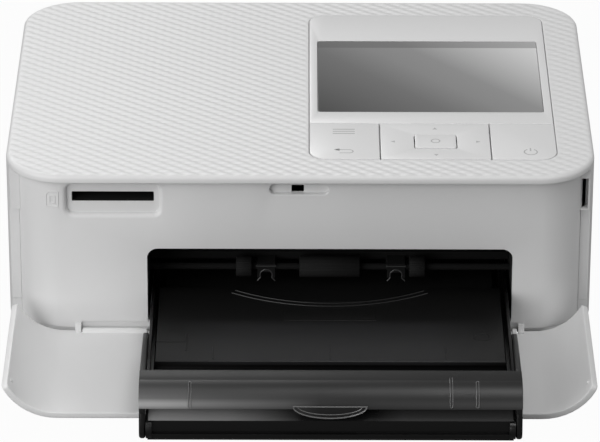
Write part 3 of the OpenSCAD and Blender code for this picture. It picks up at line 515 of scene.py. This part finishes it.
# Semi-gloss ABS: a smoother mould than the shell's, so tighter highlights.
panel_abs = grained_finish("abs_semi_gloss_white_panel", "#E8E8E8", 0.3, 0.35, 0.006)
x0, x1 = PANEL_X - PANEL_W / 2, PANEL_X + PANEL_W / 2
y1 = PANEL_Y + PANEL_D / 2
rim = np.vstack([[(x0, 38.2), (x1, 38.2)], arc(x1 - PANEL_R, y1 - PANEL_R, PANEL_R, 0, 90, 12),
                 arc(x0 + PANEL_R, y1 - PANEL_R, PANEL_R, 90, 180, 12)])
window = round_rect(PANEL_X, WINDOW_Y, WINDOW_W + 0.3, WINDOW_D + 0.3, 1.0)
sight = round_rect(PANEL_X, WINDOW_Y, WINDOW_W - 4, WINDOW_D - 4, 1)
well = round_rect(*NAV, 24, 21, 2)
plate = moulding([rim, window[::-1]], 55.5, PANEL_Z, [0.35, 0.12], upright)
shelf = moulding([along(rim, 3), sight[::-1]], 55.0, 56.1, 0, upright)
flange = moulding([round_rect(PANEL_X, PANEL_Y, PANEL_W + 5, PANEL_D + 5, 7), sight[::-1],
                   well[::-1]], 54.4, 55.6, 0.2, upright)
finish_mesh("panel_plate", joined([plate, shelf, flange]), panel_abs, "printer",
            ["panel_frame"])

# Float glass over a grey display that is off. The studio's bright rear wall in it is painted, as a
# ramp from the near left to the far right corner; the strip along the rear edge is darker.
glass_mat, tree, shader = new_material("display_glass")
where = add(tree, "ShaderNodeTexCoord").outputs["Object"]
split = add(tree, "ShaderNodeSeparateXYZ", links={0: where})
across = add(tree, "ShaderNodeMapRange", {"From Min": 0.0055, "From Max": 0.0767},
             {"Value": split.outputs[0]})
up = add(tree, "ShaderNodeMapRange", {"From Min": 0.0131, "From Max": 0.0673},
         {"Value": split.outputs[1]})
lean = add(tree, "ShaderNodeMath", {1: 0.4}, {0: up.outputs[0]}, operation="MULTIPLY")
both = add(tree, "ShaderNodeMath", {1: 0.6}, {0: across.outputs[0], 2: lean.outputs[0]},
           operation="MULTIPLY_ADD")
tone = add(tree, "ShaderNodeValToRGB", links={0: both.outputs[0]})
tone.color_ramp.elements[0].color = linear("#4E4E4E")
tone.color_ramp.elements[1].color = linear("#F4F4F4")
for at, code in ((0.35, "#787878"), (0.5, "#929292"), (0.61, "#9A9A9A"), (0.89, "#E0E0E0")):
    tone.color_ramp.elements.new(at).color = linear(code)
strip = add(tree, "ShaderNodeMath", {1: 0.0621}, {0: split.outputs[1]}, operation="GREATER_THAN")
part = add(tree, "ShaderNodeMath", {1: 0.5}, {0: strip.outputs[0]}, operation="MULTIPLY")
shade = add(tree, "ShaderNodeMixRGB", {"Color2": linear("#5E5E5E")},
            {"Fac": part.outputs[0], "Color1": tone.outputs[0]})
tree.links.new(shade.outputs[0], shader.inputs["Base Color"])
shader.inputs["Roughness"].default_value = 0.08
shader.inputs["IOR"].default_value = 1.5
glass = moulding([round_rect(PANEL_X, WINDOW_Y, WINDOW_W, WINDOW_D, 0.9)], 56.15, 57.45, 0.12, upright)
finish_mesh("display_glass_sheet", joined([glass]), glass_mat, "printer",
            ["lcd_glass"])

# ---------------------------------------------------------------------------------------------
# Keys: three caps cut from the panel's outline, the middle one a rocker with a button in it.
# Their marks are printed in grey.

HALF_SEAM, SEAM_LEFT, SEAM_RIGHT = 0.175, 24.8, 59.2
y0, y_rear = PANEL_Y - PANEL_D / 2, 38.0 - HALF_SEAM
a, b = SEAM_LEFT - HALF_SEAM, SEAM_RIGHT + HALF_SEAM
left = np.vstack([arc(x0 + PANEL_R, y0 + PANEL_R, PANEL_R, 180, 270, 12),
                  [(a, y0), (a, y_rear), (x0, y_rear)]])
right = np.vstack([arc(x1 - PANEL_R, y0 + PANEL_R, PANEL_R, 270, 360, 12),
                   [(x1, y_rear), (b, y_rear), (b, y0)]])
a, b = SEAM_LEFT + HALF_SEAM, SEAM_RIGHT - HALF_SEAM
middle = np.array([(a, y0), (b, y0), (b, y_rear), (a, y_rear)])
button_hole = round_rect(*NAV, 13.4, 10.2, 1.2)
button = round_rect(*NAV, 12.8, 9.6, 1.0)


def post(x, y, r):
    """A pin under a key, down to its dome."""
    v, f = turned([(54.1, 0), (54.1, r), (56.4, r), (56.4, 0)], 24)
    return printer_mm(v + (x, y, 0)), f


CAP_Z, EDGE, BUTTON_Z = 56.1, 0.28, 57.75
# The panel's ABS, polished by fingers no more than the frame.
key_abs = grained_finish("abs_semi_gloss_white_keys", "#E9E9E9", 0.3, 0.35, 0.006)
for body, outline, post_x, node in (("left_key", left, 13.9, "menu_key"),
                                    ("right_key", right, 69.3, "power_key")):
    cap = [moulding([outline], CAP_Z, PANEL_Z, EDGE, upright), post(post_x, 25.2, 1.3)]
    finish_mesh(body + "_cap", joined(cap), key_abs, body, [node])
rocker = [moulding([middle, button_hole[::-1]], CAP_Z, PANEL_Z, [EDGE, 0.22], upright)]
rocker += [post(NAV[0] + dx, NAV[1] + dy, 1.2)
           for dx, dy in ((10.5, 0), (-10.5, 0), (0, 9), (0, -9))]
finish_mesh("rocker_cap", joined(rocker), key_abs, "rocker", ["nav_plate"])
cap = [moulding([button], 56.2, BUTTON_Z, 0.25, upright), post(*NAV, 1.2)]
finish_mesh("centre_button_cap", joined(cap), key_abs, "centre_button", ["ok_button"])

# Grey pad-printing ink: matt, with a fleck of 0.7 mm, coarser than the ink's own so that it shows.
ink, tree, shader = new_material("grey_key_print")
where = add(tree, "ShaderNodeTexCoord").outputs["Object"]
speck = add(tree, "ShaderNodeTexNoise", {"Scale": 1500.0}, {"Vector": where})
rough = add(tree, "ShaderNodeMapRange", {"To Min": 0.45, "To Max": 0.6}, {"Value": speck.outputs[0]})
shader.inputs["Base Color"].default_value = linear("#BABABA")
tree.links.new(rough.outputs[0], shader.inputs["Roughness"])
PRINT_T = 0.02


def stroke(points, width):
    """Flat band of one width along a line of points: the points moved half the width both ways
    along the mitred normals."""
    p = np.asarray(points, float)
    e = np.diff(p, axis=0)
    n = np.c_[-e[:, 1], e[:, 0]] / np.hypot(e[:, 0], e[:, 1])[:, None]
    n = np.vstack([n[:1], (n[:-1] + n[1:]) / (1 + (n[:-1] * n[1:]).sum(1))[:, None], n[-1:]])
    return np.vstack([p - n * width / 2, (p + n * width / 2)[::-1]])


def printed(name, outlines, body, top):
    """Marks printed on a key, a hair above its face."""
    shapes = [moulding([o] if isinstance(o, np.ndarray) else o, top - 0.01, top + PRINT_T, 0,
                       upright) for o in outlines]
    finish_mesh(name, joined(shapes), ink, body, [])


bars = [round_rect(13.6, 33.6 - 1.5 * k, 7.0, 0.55, 0.25, n=3) for k in range(3)]
back_arrow = [stroke(np.vstack([[(11.0, 18.9)], arc(15.2, 17.75, 1.15, 90, -90, 10), [(12.2, 16.6)]]), 0.42),
              np.array([(10.3, 18.9), (12.2, 17.9), (12.2, 19.9)])]
printed("left_key_marks", bars + back_arrow, "left_key", PANEL_Z)
power = [stroke(arc(71.4, 17.6, 2.0, 120, 420, 28), 0.42), round_rect(71.4, 19.3, 0.42, 2.2, 0.2, n=3)]
printed("right_key_marks", power, "right_key", PANEL_Z)
tip = np.array([(0.8, 0), (-0.55, 0.75), (-0.55, -0.75)])
turns = [np.array([[np.cos(a), np.sin(a)], [-np.sin(a), np.cos(a)]])
         for a in np.radians((0, 90, 180, 270))]
arrows = [tip @ m + NAV + np.array(d)
          for m, d in zip(turns, ((13.2, 0), (0, 9.4), (-13.2, 0), (0, -9.4)))]
printed("rocker_marks", arrows, "rocker", PANEL_Z)
ring = [arc(*NAV, 1.5, 0, 350, 35), arc(*NAV, 1.1, 0, 350, 35)[::-1]]
printed("centre_button_mark", [ring], "centre_button", BUTTON_Z)

# ---------------------------------------------------------------------------------------------
# Paper bay: black ABS walls and ceiling, the throat of the card slot, and the ground rubber tyres
# of the pick-up rollers on their shaft, held by a beam with two clips.

# Black ABS that the photo shows without any highlight, so almost fully rough.
black_abs = grained_finish("abs_black_liner", "#010101", 0.95, 0.5, 0.02)
softened_copy("bay_liner", black_abs, "printer", 0.3)
finish_mesh("card_slot_throat", joined([card_throat]), black_abs, "printer", [])
softened_copy("pickup_beam", black_abs, "printer", 0.3)


def tube(path, r, n=10):
    """Round wire of radius r along a path in 3-D; rings stand across the path's direction."""
    p = np.asarray(path, float)
    d = np.gradient(p, axis=0)
    d /= np.linalg.norm(d, axis=1)[:, None]
    side = np.cross(d, (0.0, 1.0, 0.0))
    side /= np.linalg.norm(side, axis=1)[:, None]
    over = np.cross(side, d)
    t = np.linspace(0, 2 * np.pi, n, endpoint=False)
    rings = p[:, None] + r * (side[:, None] * np.cos(t)[:, None] + over[:, None] * np.sin(t)[:, None])
    v = np.vstack([p[:1], rings.reshape(-1, 3), p[-1:]])
    faces, k = ring_faces(len(p), n, first=1), np.arange(n)
    faces += np.c_[np.zeros(n, int), 1 + (k + 1) % n, 1 + k].tolist()
    last = 1 + (len(p) - 1) * n
    faces += np.c_[np.full(n, len(v) - 1), last + k, last + (k + 1) % n].tolist()
    return printer_mm(v), faces


# Slick grey acetal wires on the clips' edges; their grey is a painted highlight, the only lit lines in the
# bay.
clip_rim_highlight = grained_finish("acetal_grey_clips_painted_highlight", "#484848", 0.25, 0.5, 0.002)
CLIP_Y, CLIP_Z = 18.4, 17.1
wires = []
for x in (-10.6, 30.2):
    hoop = np.vstack([[(x + 2.8, 12.0)], arc(x, 14.0, 1.9, -25, 205, 26), [(x - 2.8, 12.0)]])
    wires.append(tube(np.c_[hoop[:, 0], np.full(len(hoop), CLIP_Y), hoop[:, 1]], 0.2))
    wires.append(tube([(x + d, CLIP_Y, CLIP_Z) for d in (-2.9, 0, 2.9)], 0.2))
    wires += [tube([(x + d, CLIP_Y, CLIP_Z), (x + d, 21.5, 16.8), (x + d, 24.8, 16.2)], 0.3)
              for d in (-2.9, 2.9)]
finish_mesh("clip_rims", joined(wires), clip_rim_highlight, "printer", [])

# Ground EPDM rubber: matt black, mottled by grinding marks of about 1 mm.
rubber, tree, shader = new_material("epdm_ground_rubber")
where = add(tree, "ShaderNodeTexCoord").outputs["Object"]
dust = add(tree, "ShaderNodeTexNoise", {"Scale": 900.0, "Detail": 3.0}, {"Vector": where})
tone = add(tree, "ShaderNodeValToRGB", links={0: dust.outputs[0]})
tone.color_ramp.elements[0].color = linear("#040404")
tone.color_ramp.elements[1].color = linear("#0A0A0A")
bump = add(tree, "ShaderNodeBump", {"Strength": 0.5, "Distance": 0.00003}, {"Height": dust.outputs[0]})
tree.links.new(tone.outputs[0], shader.inputs["Base Color"])
tree.links.new(bump.outputs[0], shader.inputs["Normal"])
shader.inputs["Roughness"].default_value = 0.75
PICK = (19.8168, 16.4)


def ribbed_roller(x0, x1, r, ribs):
    """Rubber tyre with fine ribs along it: radius r - 0.12 * (1 - cos(ribs * angle)) / 2."""
    t = np.linspace(0, 2 * np.pi, ribs * 6, endpoint=False)
    rise = 1 - 0.12 / r * (1 - np.cos(ribs * t)) / 2
    bore, shoulder = 0.9, 0.25
    rows = [(x0, bore), (x0, r - shoulder), (x0 + shoulder, r), (x1 - shoulder, r),
            (x1, r - shoulder), (x1, bore), (x0, bore)]
    v = np.vstack([np.c_[np.full(len(t), x), PICK[0] + q * rise * np.cos(t),
                         PICK[1] + q * rise * np.sin(t)] for x, q in rows])
    return printer_mm(v), ring_faces(len(rows), len(t))


tyres = [ribbed_roller(-0.2, 18.8, 3.4, 40), ribbed_roller(-20.1, -15.1, 3.3, 36),
         ribbed_roller(34.3, 39.3, 3.3, 36)]
finish_mesh("pickup_tyres", joined(tyres), rubber, "pickup_set",
            ["pickup_rollers"], sharp=60)

# ---------------------------------------------------------------------------------------------
# Paper cassette: a black polystyrene tray with a polished slope at its front in painted light, a fixed
# inner lid whose front end steps down into a trough, and a lifter plate that hinges in the floor.

# Injection-moulded black polystyrene, glossier than ABS.
tray_ps = grained_finish("polystyrene_black_tray", "#030303", 0.3, 0.4, 0.004)
softened_copy("cassette_tray", tray_ps, "paper_cassette", 0.25)
CASS_X, LID_Z, LID_T = 9.3, 14.0, 1.2
ARC_Y, ARC_HALF, ARC_RISE = -0.4, 32.0, 10.4
ARC_R = (ARC_HALF ** 2 + ARC_RISE ** 2) / (2 * ARC_RISE)


# Polished polystyrene. Its colour is painted light that comes through the lid, as a ramp across x:
# lit at the left end, dark in the middle, lighter at the right; the gloss varies over streaks of 2.5 mm.
sill, tree, shader = new_material("polystyrene_sill_painted_light")
where = add(tree, "ShaderNodeTexCoord").outputs["Object"]
split = add(tree, "ShaderNodeSeparateXYZ", links={0: where})
across = add(tree, "ShaderNodeMapRange", {"From Min": -0.045, "From Max": 0.0635},
             {"Value": split.outputs[0]})
tone = add(tree, "ShaderNodeValToRGB", links={0: across.outputs[0]})
tone.color_ramp.elements[0].color = linear("#8C8C8C")
tone.color_ramp.elements[1].color = linear("#3A3A3A")
for at, code in ((0.22, "#7A7A7A"), (0.42, "#1A1A1A"), (0.62, "#1A1A1A"), (0.7, "#383838")):
    tone.color_ramp.elements.new(at).color = linear(code)
streak = add(tree, "ShaderNodeTexNoise", {"Scale": 400.0, "Detail": 2.0}, {"Vector": where})
gloss = add(tree, "ShaderNodeMapRange", {"To Min": 0.12, "To Max": 0.25}, {"Value": streak.outputs[0]})
tree.links.new(tone.outputs[0], shader.inputs["Base Color"])
tree.links.new(gloss.outputs[0], shader.inputs["Roughness"])
slope = np.array([(-63.45, 7.3), (-60.75, 9.85), (-60.55, 10.1), (-60.75, 10.12), (-63.6, 7.45)])
slope = moulding([slope[::-1]], CASS_X - 54.4, CASS_X + 54.4, 0.02, crosswise)
finish_mesh("tray_sill", joined([slope]), sill, "paper_cassette", [])

# Dark smoky ABS with a fine grain; the light that reaches its front edge is painted, fading
# towards the rear and the sides.
lid_mat, tree, shader = new_material("abs_dark_smoke_lid")
where = add(tree, "ShaderNodeTexCoord").outputs["Object"]
split = add(tree, "ShaderNodeSeparateXYZ", links={0: where})
near = add(tree, "ShaderNodeMapRange", {"From Min": -0.0448, "From Max": -0.0490},
           {"Value": split.outputs[1]})
side = add(tree, "ShaderNodeMath", {1: CASS_X / 1000}, {0: split.outputs[0]}, operation="SUBTRACT")
side = add(tree, "ShaderNodeMath", links={0: side.outputs[0]}, operation="ABSOLUTE")
side = add(tree, "ShaderNodeMapRange", {"From Min": 0.052, "From Max": 0.030},
           {"Value": side.outputs[0]})
lit = add(tree, "ShaderNodeMath", links={0: near.outputs[0], 1: side.outputs[0]}, operation="MULTIPLY")
tone = add(tree, "ShaderNodeValToRGB", links={0: lit.outputs[0]})
tone.color_ramp.elements[0].color = linear("#0B0B0B")
tone.color_ramp.elements[1].color = linear("#1F1F20")
grain = add(tree, "ShaderNodeTexNoise", {"Scale": 1800.0}, {"Vector": where})
bump = add(tree, "ShaderNodeBump", {"Strength": 0.3, "Distance": 0.00001},
           {"Height": grain.outputs[0]})
tree.links.new(tone.outputs[0], shader.inputs["Base Color"])
tree.links.new(bump.outputs[0], shader.inputs["Normal"])
shader.inputs["Roughness"].default_value = 0.42
a0 = np.degrees(np.arccos((ARC_R - ARC_RISE) / ARC_R))
LID_X0, LID_X1, STEP_Y = CASS_X - 53.2, CASS_X + 53.2, -38.5
sweep = arc(CASS_X, ARC_Y + ARC_R, ARC_R, -90 - a0, -90 + a0, 48)
flat = np.vstack([[(LID_X0, 10), (LID_X0, STEP_Y), (LID_X1, STEP_Y), (LID_X1, 10)], sweep[::-1]])
trough = np.array([(-49, 10.8), (-37.3, 10.8), (-37.3, 12.9), (-38.4, 12.9), (-38.4, 12), (-49, 12)])
lid_parts = [moulding([flat], LID_Z - LID_T, LID_Z, 0.35, upright)]
ticks = [round_rect(x, -33.2, 0.5, 7.6, 0.2, n=2) for x in (-26.25, 9.26, 44.45)]
ticks += [round_rect(-34.6, -26.4, 0.6, 11.0, 0.2, n=2), round_rect(-39.4, -26.1, 9.0, 0.6, 0.2, n=2)]
lid_parts += [moulding([t], LID_Z - 0.05, LID_Z + 0.12, 0.06, upright) for t in ticks]
capsule = [round_rect(55.7, -22.5, 5.2, 5.0, 1.9), round_rect(55.7, -22.5, 4.0, 3.8, 1.3)[::-1]]
lid_parts.append(moulding(capsule, LID_Z - 0.05, LID_Z + 0.12, 0.06, upright))
finish_mesh("inner_lid_plate", joined(lid_parts), lid_mat, "paper_cassette",
            ["inner_lid"])
trough = moulding([trough], LID_X0, LID_X1, 0.2, crosswise, soft_back=0.2)
finish_mesh("lid_trough", joined([trough]), tray_ps, "paper_cassette", [])
beads = []
for gap, thick in ((0.3, 0.2), (2.3, 0.25)):
    bead = arc(CASS_X, ARC_Y + ARC_R, ARC_R + gap, -90 - a0 * 0.9, -90 + a0 * 0.9, 40)
    beads.append(tube(np.c_[bead, np.full(len(bead), LID_Z)], thick))
pad = arc(CASS_X, ARC_Y + ARC_R, ARC_R + 3.0, -90 - 14.2, -90 + 14.2, 20)
pad = np.vstack([[(pad[0, 0], -12.2)], [(pad[-1, 0], -12.2)], pad[::-1]])
beads.append(moulding([pad], LID_Z - 0.05, LID_Z + 0.1, 0.05, upright))
# The inner lid's ABS, polished on its raised beads and thumb pad.
bead_mat = grained_finish("abs_grey_bead", "#101010", 0.35, 0.5, 0.002)
finish_mesh("arc_bead", joined(beads), bead_mat, "paper_cassette", [])
# Plain black ABS.
lifter_abs = grained_finish("abs_black_lifter", "#1A1A1A", 0.4, 0.5, 0.015)
softened_copy("lifter_plate", lifter_abs, "lifter", 0.15)

# ---------------------------------------------------------------------------------------------
# Hinged lid of the cassette: a hood of smoky clear polystyrene moulded in one with two side
# plates, which swing on the tray, and with a thumb tab that hangs over the tray's front.

# Smoky clear polystyrene with a satin inside; the haze is in clouds of 17 mm. The studio's
# reflections are painted: one ramp across x, and one from the crown down to the lower edge.
smoke, tree, shader = new_material("polystyrene_clear_smoke")
where = add(tree, "ShaderNodeTexCoord").outputs["Object"]
haze = add(tree, "ShaderNodeTexNoise", {"Scale": 60.0, "Detail": 2.0}, {"Vector": where})
rough = add(tree, "ShaderNodeMapRange", {"To Min": 0.42, "To Max": 0.5}, {"Value": haze.outputs[0]})
split = add(tree, "ShaderNodeSeparateXYZ", links={0: where})
across = add(tree, "ShaderNodeMapRange", {"From Min": -0.048, "From Max": 0.0665},
             {"Value": split.outputs[0]})
tone = add(tree, "ShaderNodeValToRGB", links={0: across.outputs[0]})
tone.color_ramp.elements[0].color = linear("#B4B4B4")
tone.color_ramp.elements[1].color = linear("#4A4A4A")
for at, code in ((0.125, "#A2A2A2"), (0.135, "#808080"), (0.25, "#6C6C6C"), (0.38, "#545454"),
                 (0.47, "#1C1C1C"), (0.56, "#1C1C1C"), (0.64, "#303030")):
    tone.color_ramp.elements.new(at).color = linear(code)
drop = add(tree, "ShaderNodeMapRange", {"From Min": 0.0184, "From Max": 0.0122},
           {"Value": split.outputs[2]})
depth = add(tree, "ShaderNodeValToRGB", links={0: drop.outputs[0]})
depth.color_ramp.elements[0].color = linear("#060606")
depth.color_ramp.elements[1].color = linear("#C0C0C0")
for at, code in ((0.06, "#303030"), (0.25, "#7C7C7C"), (0.55, "#909090"), (0.74, "#FFFFFF"),
                 (0.86, "#FFFFFF")):
    depth.color_ramp.elements.new(at).color = linear(code)
both = add(tree, "ShaderNodeMixRGB", {"Fac": 1.0},
           {"Color1": tone.outputs[0], "Color2": depth.outputs[0]}, blend_type="MULTIPLY")
tree.links.new(both.outputs[0], shader.inputs["Base Color"])
shader.inputs["Transmission Weight"].default_value = 0.3
shader.inputs["IOR"].default_value = 1.59
tree.links.new(rough.outputs[0], shader.inputs["Roughness"])
HOOD, HOOD_R, HOOD_T, HOOD_Y1, HOOD_LOW_Z = (-57.5, 10.4), 7.8, 1.3, -51.8, 12.2
CHEEK_X0, CHEEK_X1 = 55.5, 57.2
crown = HOOD[1] + HOOD_R
low, low_in = (np.degrees(np.arcsin((HOOD_LOW_Z - HOOD[1]) / r)) for r in (HOOD_R, HOOD_R - HOOD_T))
hood = np.vstack([[(HOOD_Y1, crown), (-57.3, crown)], arc(*HOOD, HOOD_R - 0.12, 90, 180 - low, 24),
                  arc(*HOOD, HOOD_R - HOOD_T, 180 - low_in, 90, 24), [(HOOD_Y1, crown - HOOD_T)]])


def on_hood(p):
    """a is x, b runs down the hood's curve from its crown, height is counted from the curve."""
    t, r = np.radians(90) + p[:, 1] / HOOD_R, HOOD_R - 0.12 + p[:, 2]
    return np.c_[p[:, 0], HOOD[0] + r * np.cos(t), HOOD[1] + r * np.sin(t)]


hood = moulding([hood], CASS_X - CHEEK_X1, CASS_X + CHEEK_X1, 0.3, crosswise, soft_back=0.3)
finish_mesh("smoky_lid", joined([hood]), smoke, "cassette_lid", ["outer_lid"])

# The same smoke, dark because the side plates are seen through their length.
ear_smoke = grained_finish("polystyrene_dark_smoke", "#161616", 0.35, 0.5, 0.004)
ears, legs = [], []
ear = np.array([(-58, 8), (-52, 12), (-46, 12.6), (-25, 11.4), (-22.4, 11.6), (-21.2, 12.9),
                (-21.4, 14.4), (-23, 15.4), (-30, 16.4), (-42, 17.6), (-49, 18.1), (-57.5, 18.1),
                (-60.4, 17.5), (-63.0, 15.5), (-64.8, 12.4), (-64.0, 9.5)])
leg = np.vstack([arc(-62.5, 4.4, 3.2, 180, 360, 20), [(-58, 8), (-57.0, 9.6), (-64.3, 10.2)]])
for lo, hi in ((CASS_X - CHEEK_X1, CASS_X - CHEEK_X0 + 0.2),
               (CASS_X + CHEEK_X0 - 0.2, CASS_X + CHEEK_X1)):
    ears.append(moulding([ear], lo + 0.04, hi - 0.04, 0.5, crosswise, soft_back=0.5))
    legs.append(moulding([leg], lo, hi, 0.7, crosswise, soft_back=0.7))
finish_mesh("lid_ears", joined(ears), ear_smoke, "cassette_lid", [])
finish_mesh("lid_arms", joined(legs), tray_ps, "cassette_lid", [])

# Polished clear polystyrene edges, light grey as a painted highlight; the haze is in clouds of 11 mm.
clear, tree, shader = new_material("polystyrene_clear")
where = add(tree, "ShaderNodeTexCoord").outputs["Object"]
haze = add(tree, "ShaderNodeTexNoise", {"Scale": 90.0, "Detail": 2.0}, {"Vector": where})
rough = add(tree, "ShaderNodeMapRange", {"To Min": 0.05, "To Max": 0.15}, {"Value": haze.outputs[0]})
shader.inputs["Base Color"].default_value = linear("#9A9A9A")
shader.inputs["Transmission Weight"].default_value = 0.5
shader.inputs["IOR"].default_value = 1.59
tree.links.new(rough.outputs[0], shader.inputs["Roughness"])
TAB_X, TAB_Z, TAB_W, TAB_H = 9.1, 13.2, 11.2, 4.2


def half_round(w, h, n=40):
    """Lower half of an ellipse with half axes w and h."""
    t = np.radians(np.linspace(180, 360, n + 1))
    return np.c_[TAB_X + w * np.cos(t), TAB_Z + h * np.sin(t)]


tab = [moulding([half_round(TAB_W, TAB_H)], -0.5, 0.1, 0.2, facing(-64.9), soft_back=0.2)]
finish_mesh("thumb_tab", joined(tab), smoke, "cassette_lid", [])
rims = []
for w, h, y, r in ((TAB_W - 0.2, TAB_H - 0.2, -65.15, 0.22), (TAB_W - 1.6, TAB_H - 1.35, -65.1, 0.14)):
    e = half_round(w, h)
    rims.append(tube(np.c_[e[:, 0], np.full(len(e), y), e[:, 1]], r))
rims.append(tube([(TAB_X + d, y, TAB_Z - 0.1) for d, y in
                  ((0.4 - TAB_W, -65.15), (0, -65.25), (TAB_W - 0.4, -65.15))], 0.18))
for x, b0, b1 in ((-32.7, 1.4, 10.2), (45.2, -2.3, 10.0), (53.0, 0.8, 10.0)):
    outer, hole = (along(round_rect(x, (b0 + b1) / 2, w, b1 - b0 - d, w / 2 - 0.01), 0.7)
                   for w, d in ((1.0, 0), (0.6, 0.4)))
    rims.append(moulding([outer, hole[::-1]], -0.1, 0.25, 0.1, on_hood))
finish_mesh("clear_rims_painted_highlight", joined(rims), clear, "cassette_lid", [])

# ---------------------------------------------------------------------------------------------
# Inside the case: pressed steel chassis, ground rollers, moulded gears, motors, boards and the
# ribbon cassette. They keep their CAD form.


def keep(nodes, material):
    """The CAD nodes stay as they are and get this material."""
    for n in nodes:
        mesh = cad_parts[n].data
        mesh.materials.clear()
        mesh.materials.append(material)


def sheet_metal(name, code, roughness, metallic, grain_mm):
    """Rolled or ground metal: streaks of gloss, grain_mm wide and twelve times as long along x."""
    m, t, shader = new_material(name)
    where = add(t, "ShaderNodeTexCoord").outputs["Object"]
    scaled = add(t, "ShaderNodeMapping", {"Scale": (0.08, 1.0, 1.0)}, {"Vector": where})
    streak = add(t, "ShaderNodeTexNoise", {"Scale": 1000 / grain_mm, "Detail": 2.0},
                 {"Vector": scaled.outputs[0]})
    gloss = add(t, "ShaderNodeMapRange", {"To Min": roughness - 0.06, "To Max": roughness + 0.06},
                {"Value": streak.outputs[0]})
    shader.inputs["Base Color"].default_value = linear(code)
    shader.inputs["Metallic"].default_value = metallic
    t.links.new(gloss.outputs[0], shader.inputs["Roughness"])
    return m


# Metals: the sheet is dull and streaked from rolling, ground shafts and pins are brighter.
keep(("chassis_left", "chassis_right", "chassis_ties", "motor_bracket", "head_arm", "lcd_module"),
     sheet_metal("zinc_plated_sheet_steel", "#B9BBBD", 0.4, 1.0, 0.4))
keep(("feed_roller", "hinge_pins", "case_screws", "usb_socket", "key_domes"),
     sheet_metal("ground_steel", "#C4C5C6", 0.25, 1.0, 0.2))
# The pick-up shaft is steel, coloured near black and matt, without metal gloss.
keep(("pickup_shaft",), sheet_metal("near_black_matt_steel", "#050505", 0.9, 0.0, 0.3))
keep(("feed_motor", "ribbon_motor"), sheet_metal("drawn_steel_can", "#AEB0B2", 0.35, 1.0, 0.5))
keep(("heat_sink",), sheet_metal("extruded_aluminium", "#D2D3D3", 0.35, 1.0, 0.6))
keep(("shaft_bushes", "feed_pinion", "ribbon_pinion"),
     sheet_metal("turned_brass", "#C8A04E", 0.3, 1.0, 0.2))
# Plastics, rubber and boards: slick acetal gears, matt rubber, glossy film and board lacquer.
keep(("pickup_gear", "feed_gear", "idler_gear", "platen_gear", "takeup_drive", "supply_brake",
      "head_cam", "nav_carrier"),
     grained_finish("acetal_natural", "#E2DFD2", 0.35, 0.6, 0.01))
keep(("pinch_roller", "platen_roller"), rubber)
keep(("rubber_feet",), grained_finish("rubber_black_feet", "#1C1C1C", 0.8, 0.4, 0.03))
keep(("paper_guide", "dc_jack", "ink_case", "card_socket"), black_abs)
keep(("main_board", "key_board"),
     grained_finish("solder_mask_green", "#1E5A32", 0.3, 0.8, 0.01))
keep(("panel_flex",), grained_finish("polyimide_amber", "#A8642A", 0.25, 0.8, 0.004))
keep(("thermal_head",), grained_finish("glazed_ceramic", "#D9D4C2", 0.2, 0.8, 0.004))
keep(("supply_spool", "takeup_spool", "ribbon_web"),
     grained_finish("dye_ribbon_film", "#7A2350", 0.2, 0.8, 0.004))
keep(("ink_lever",), grained_finish("acetal_orange", "#D9702A", 0.35, 0.6, 0.01))
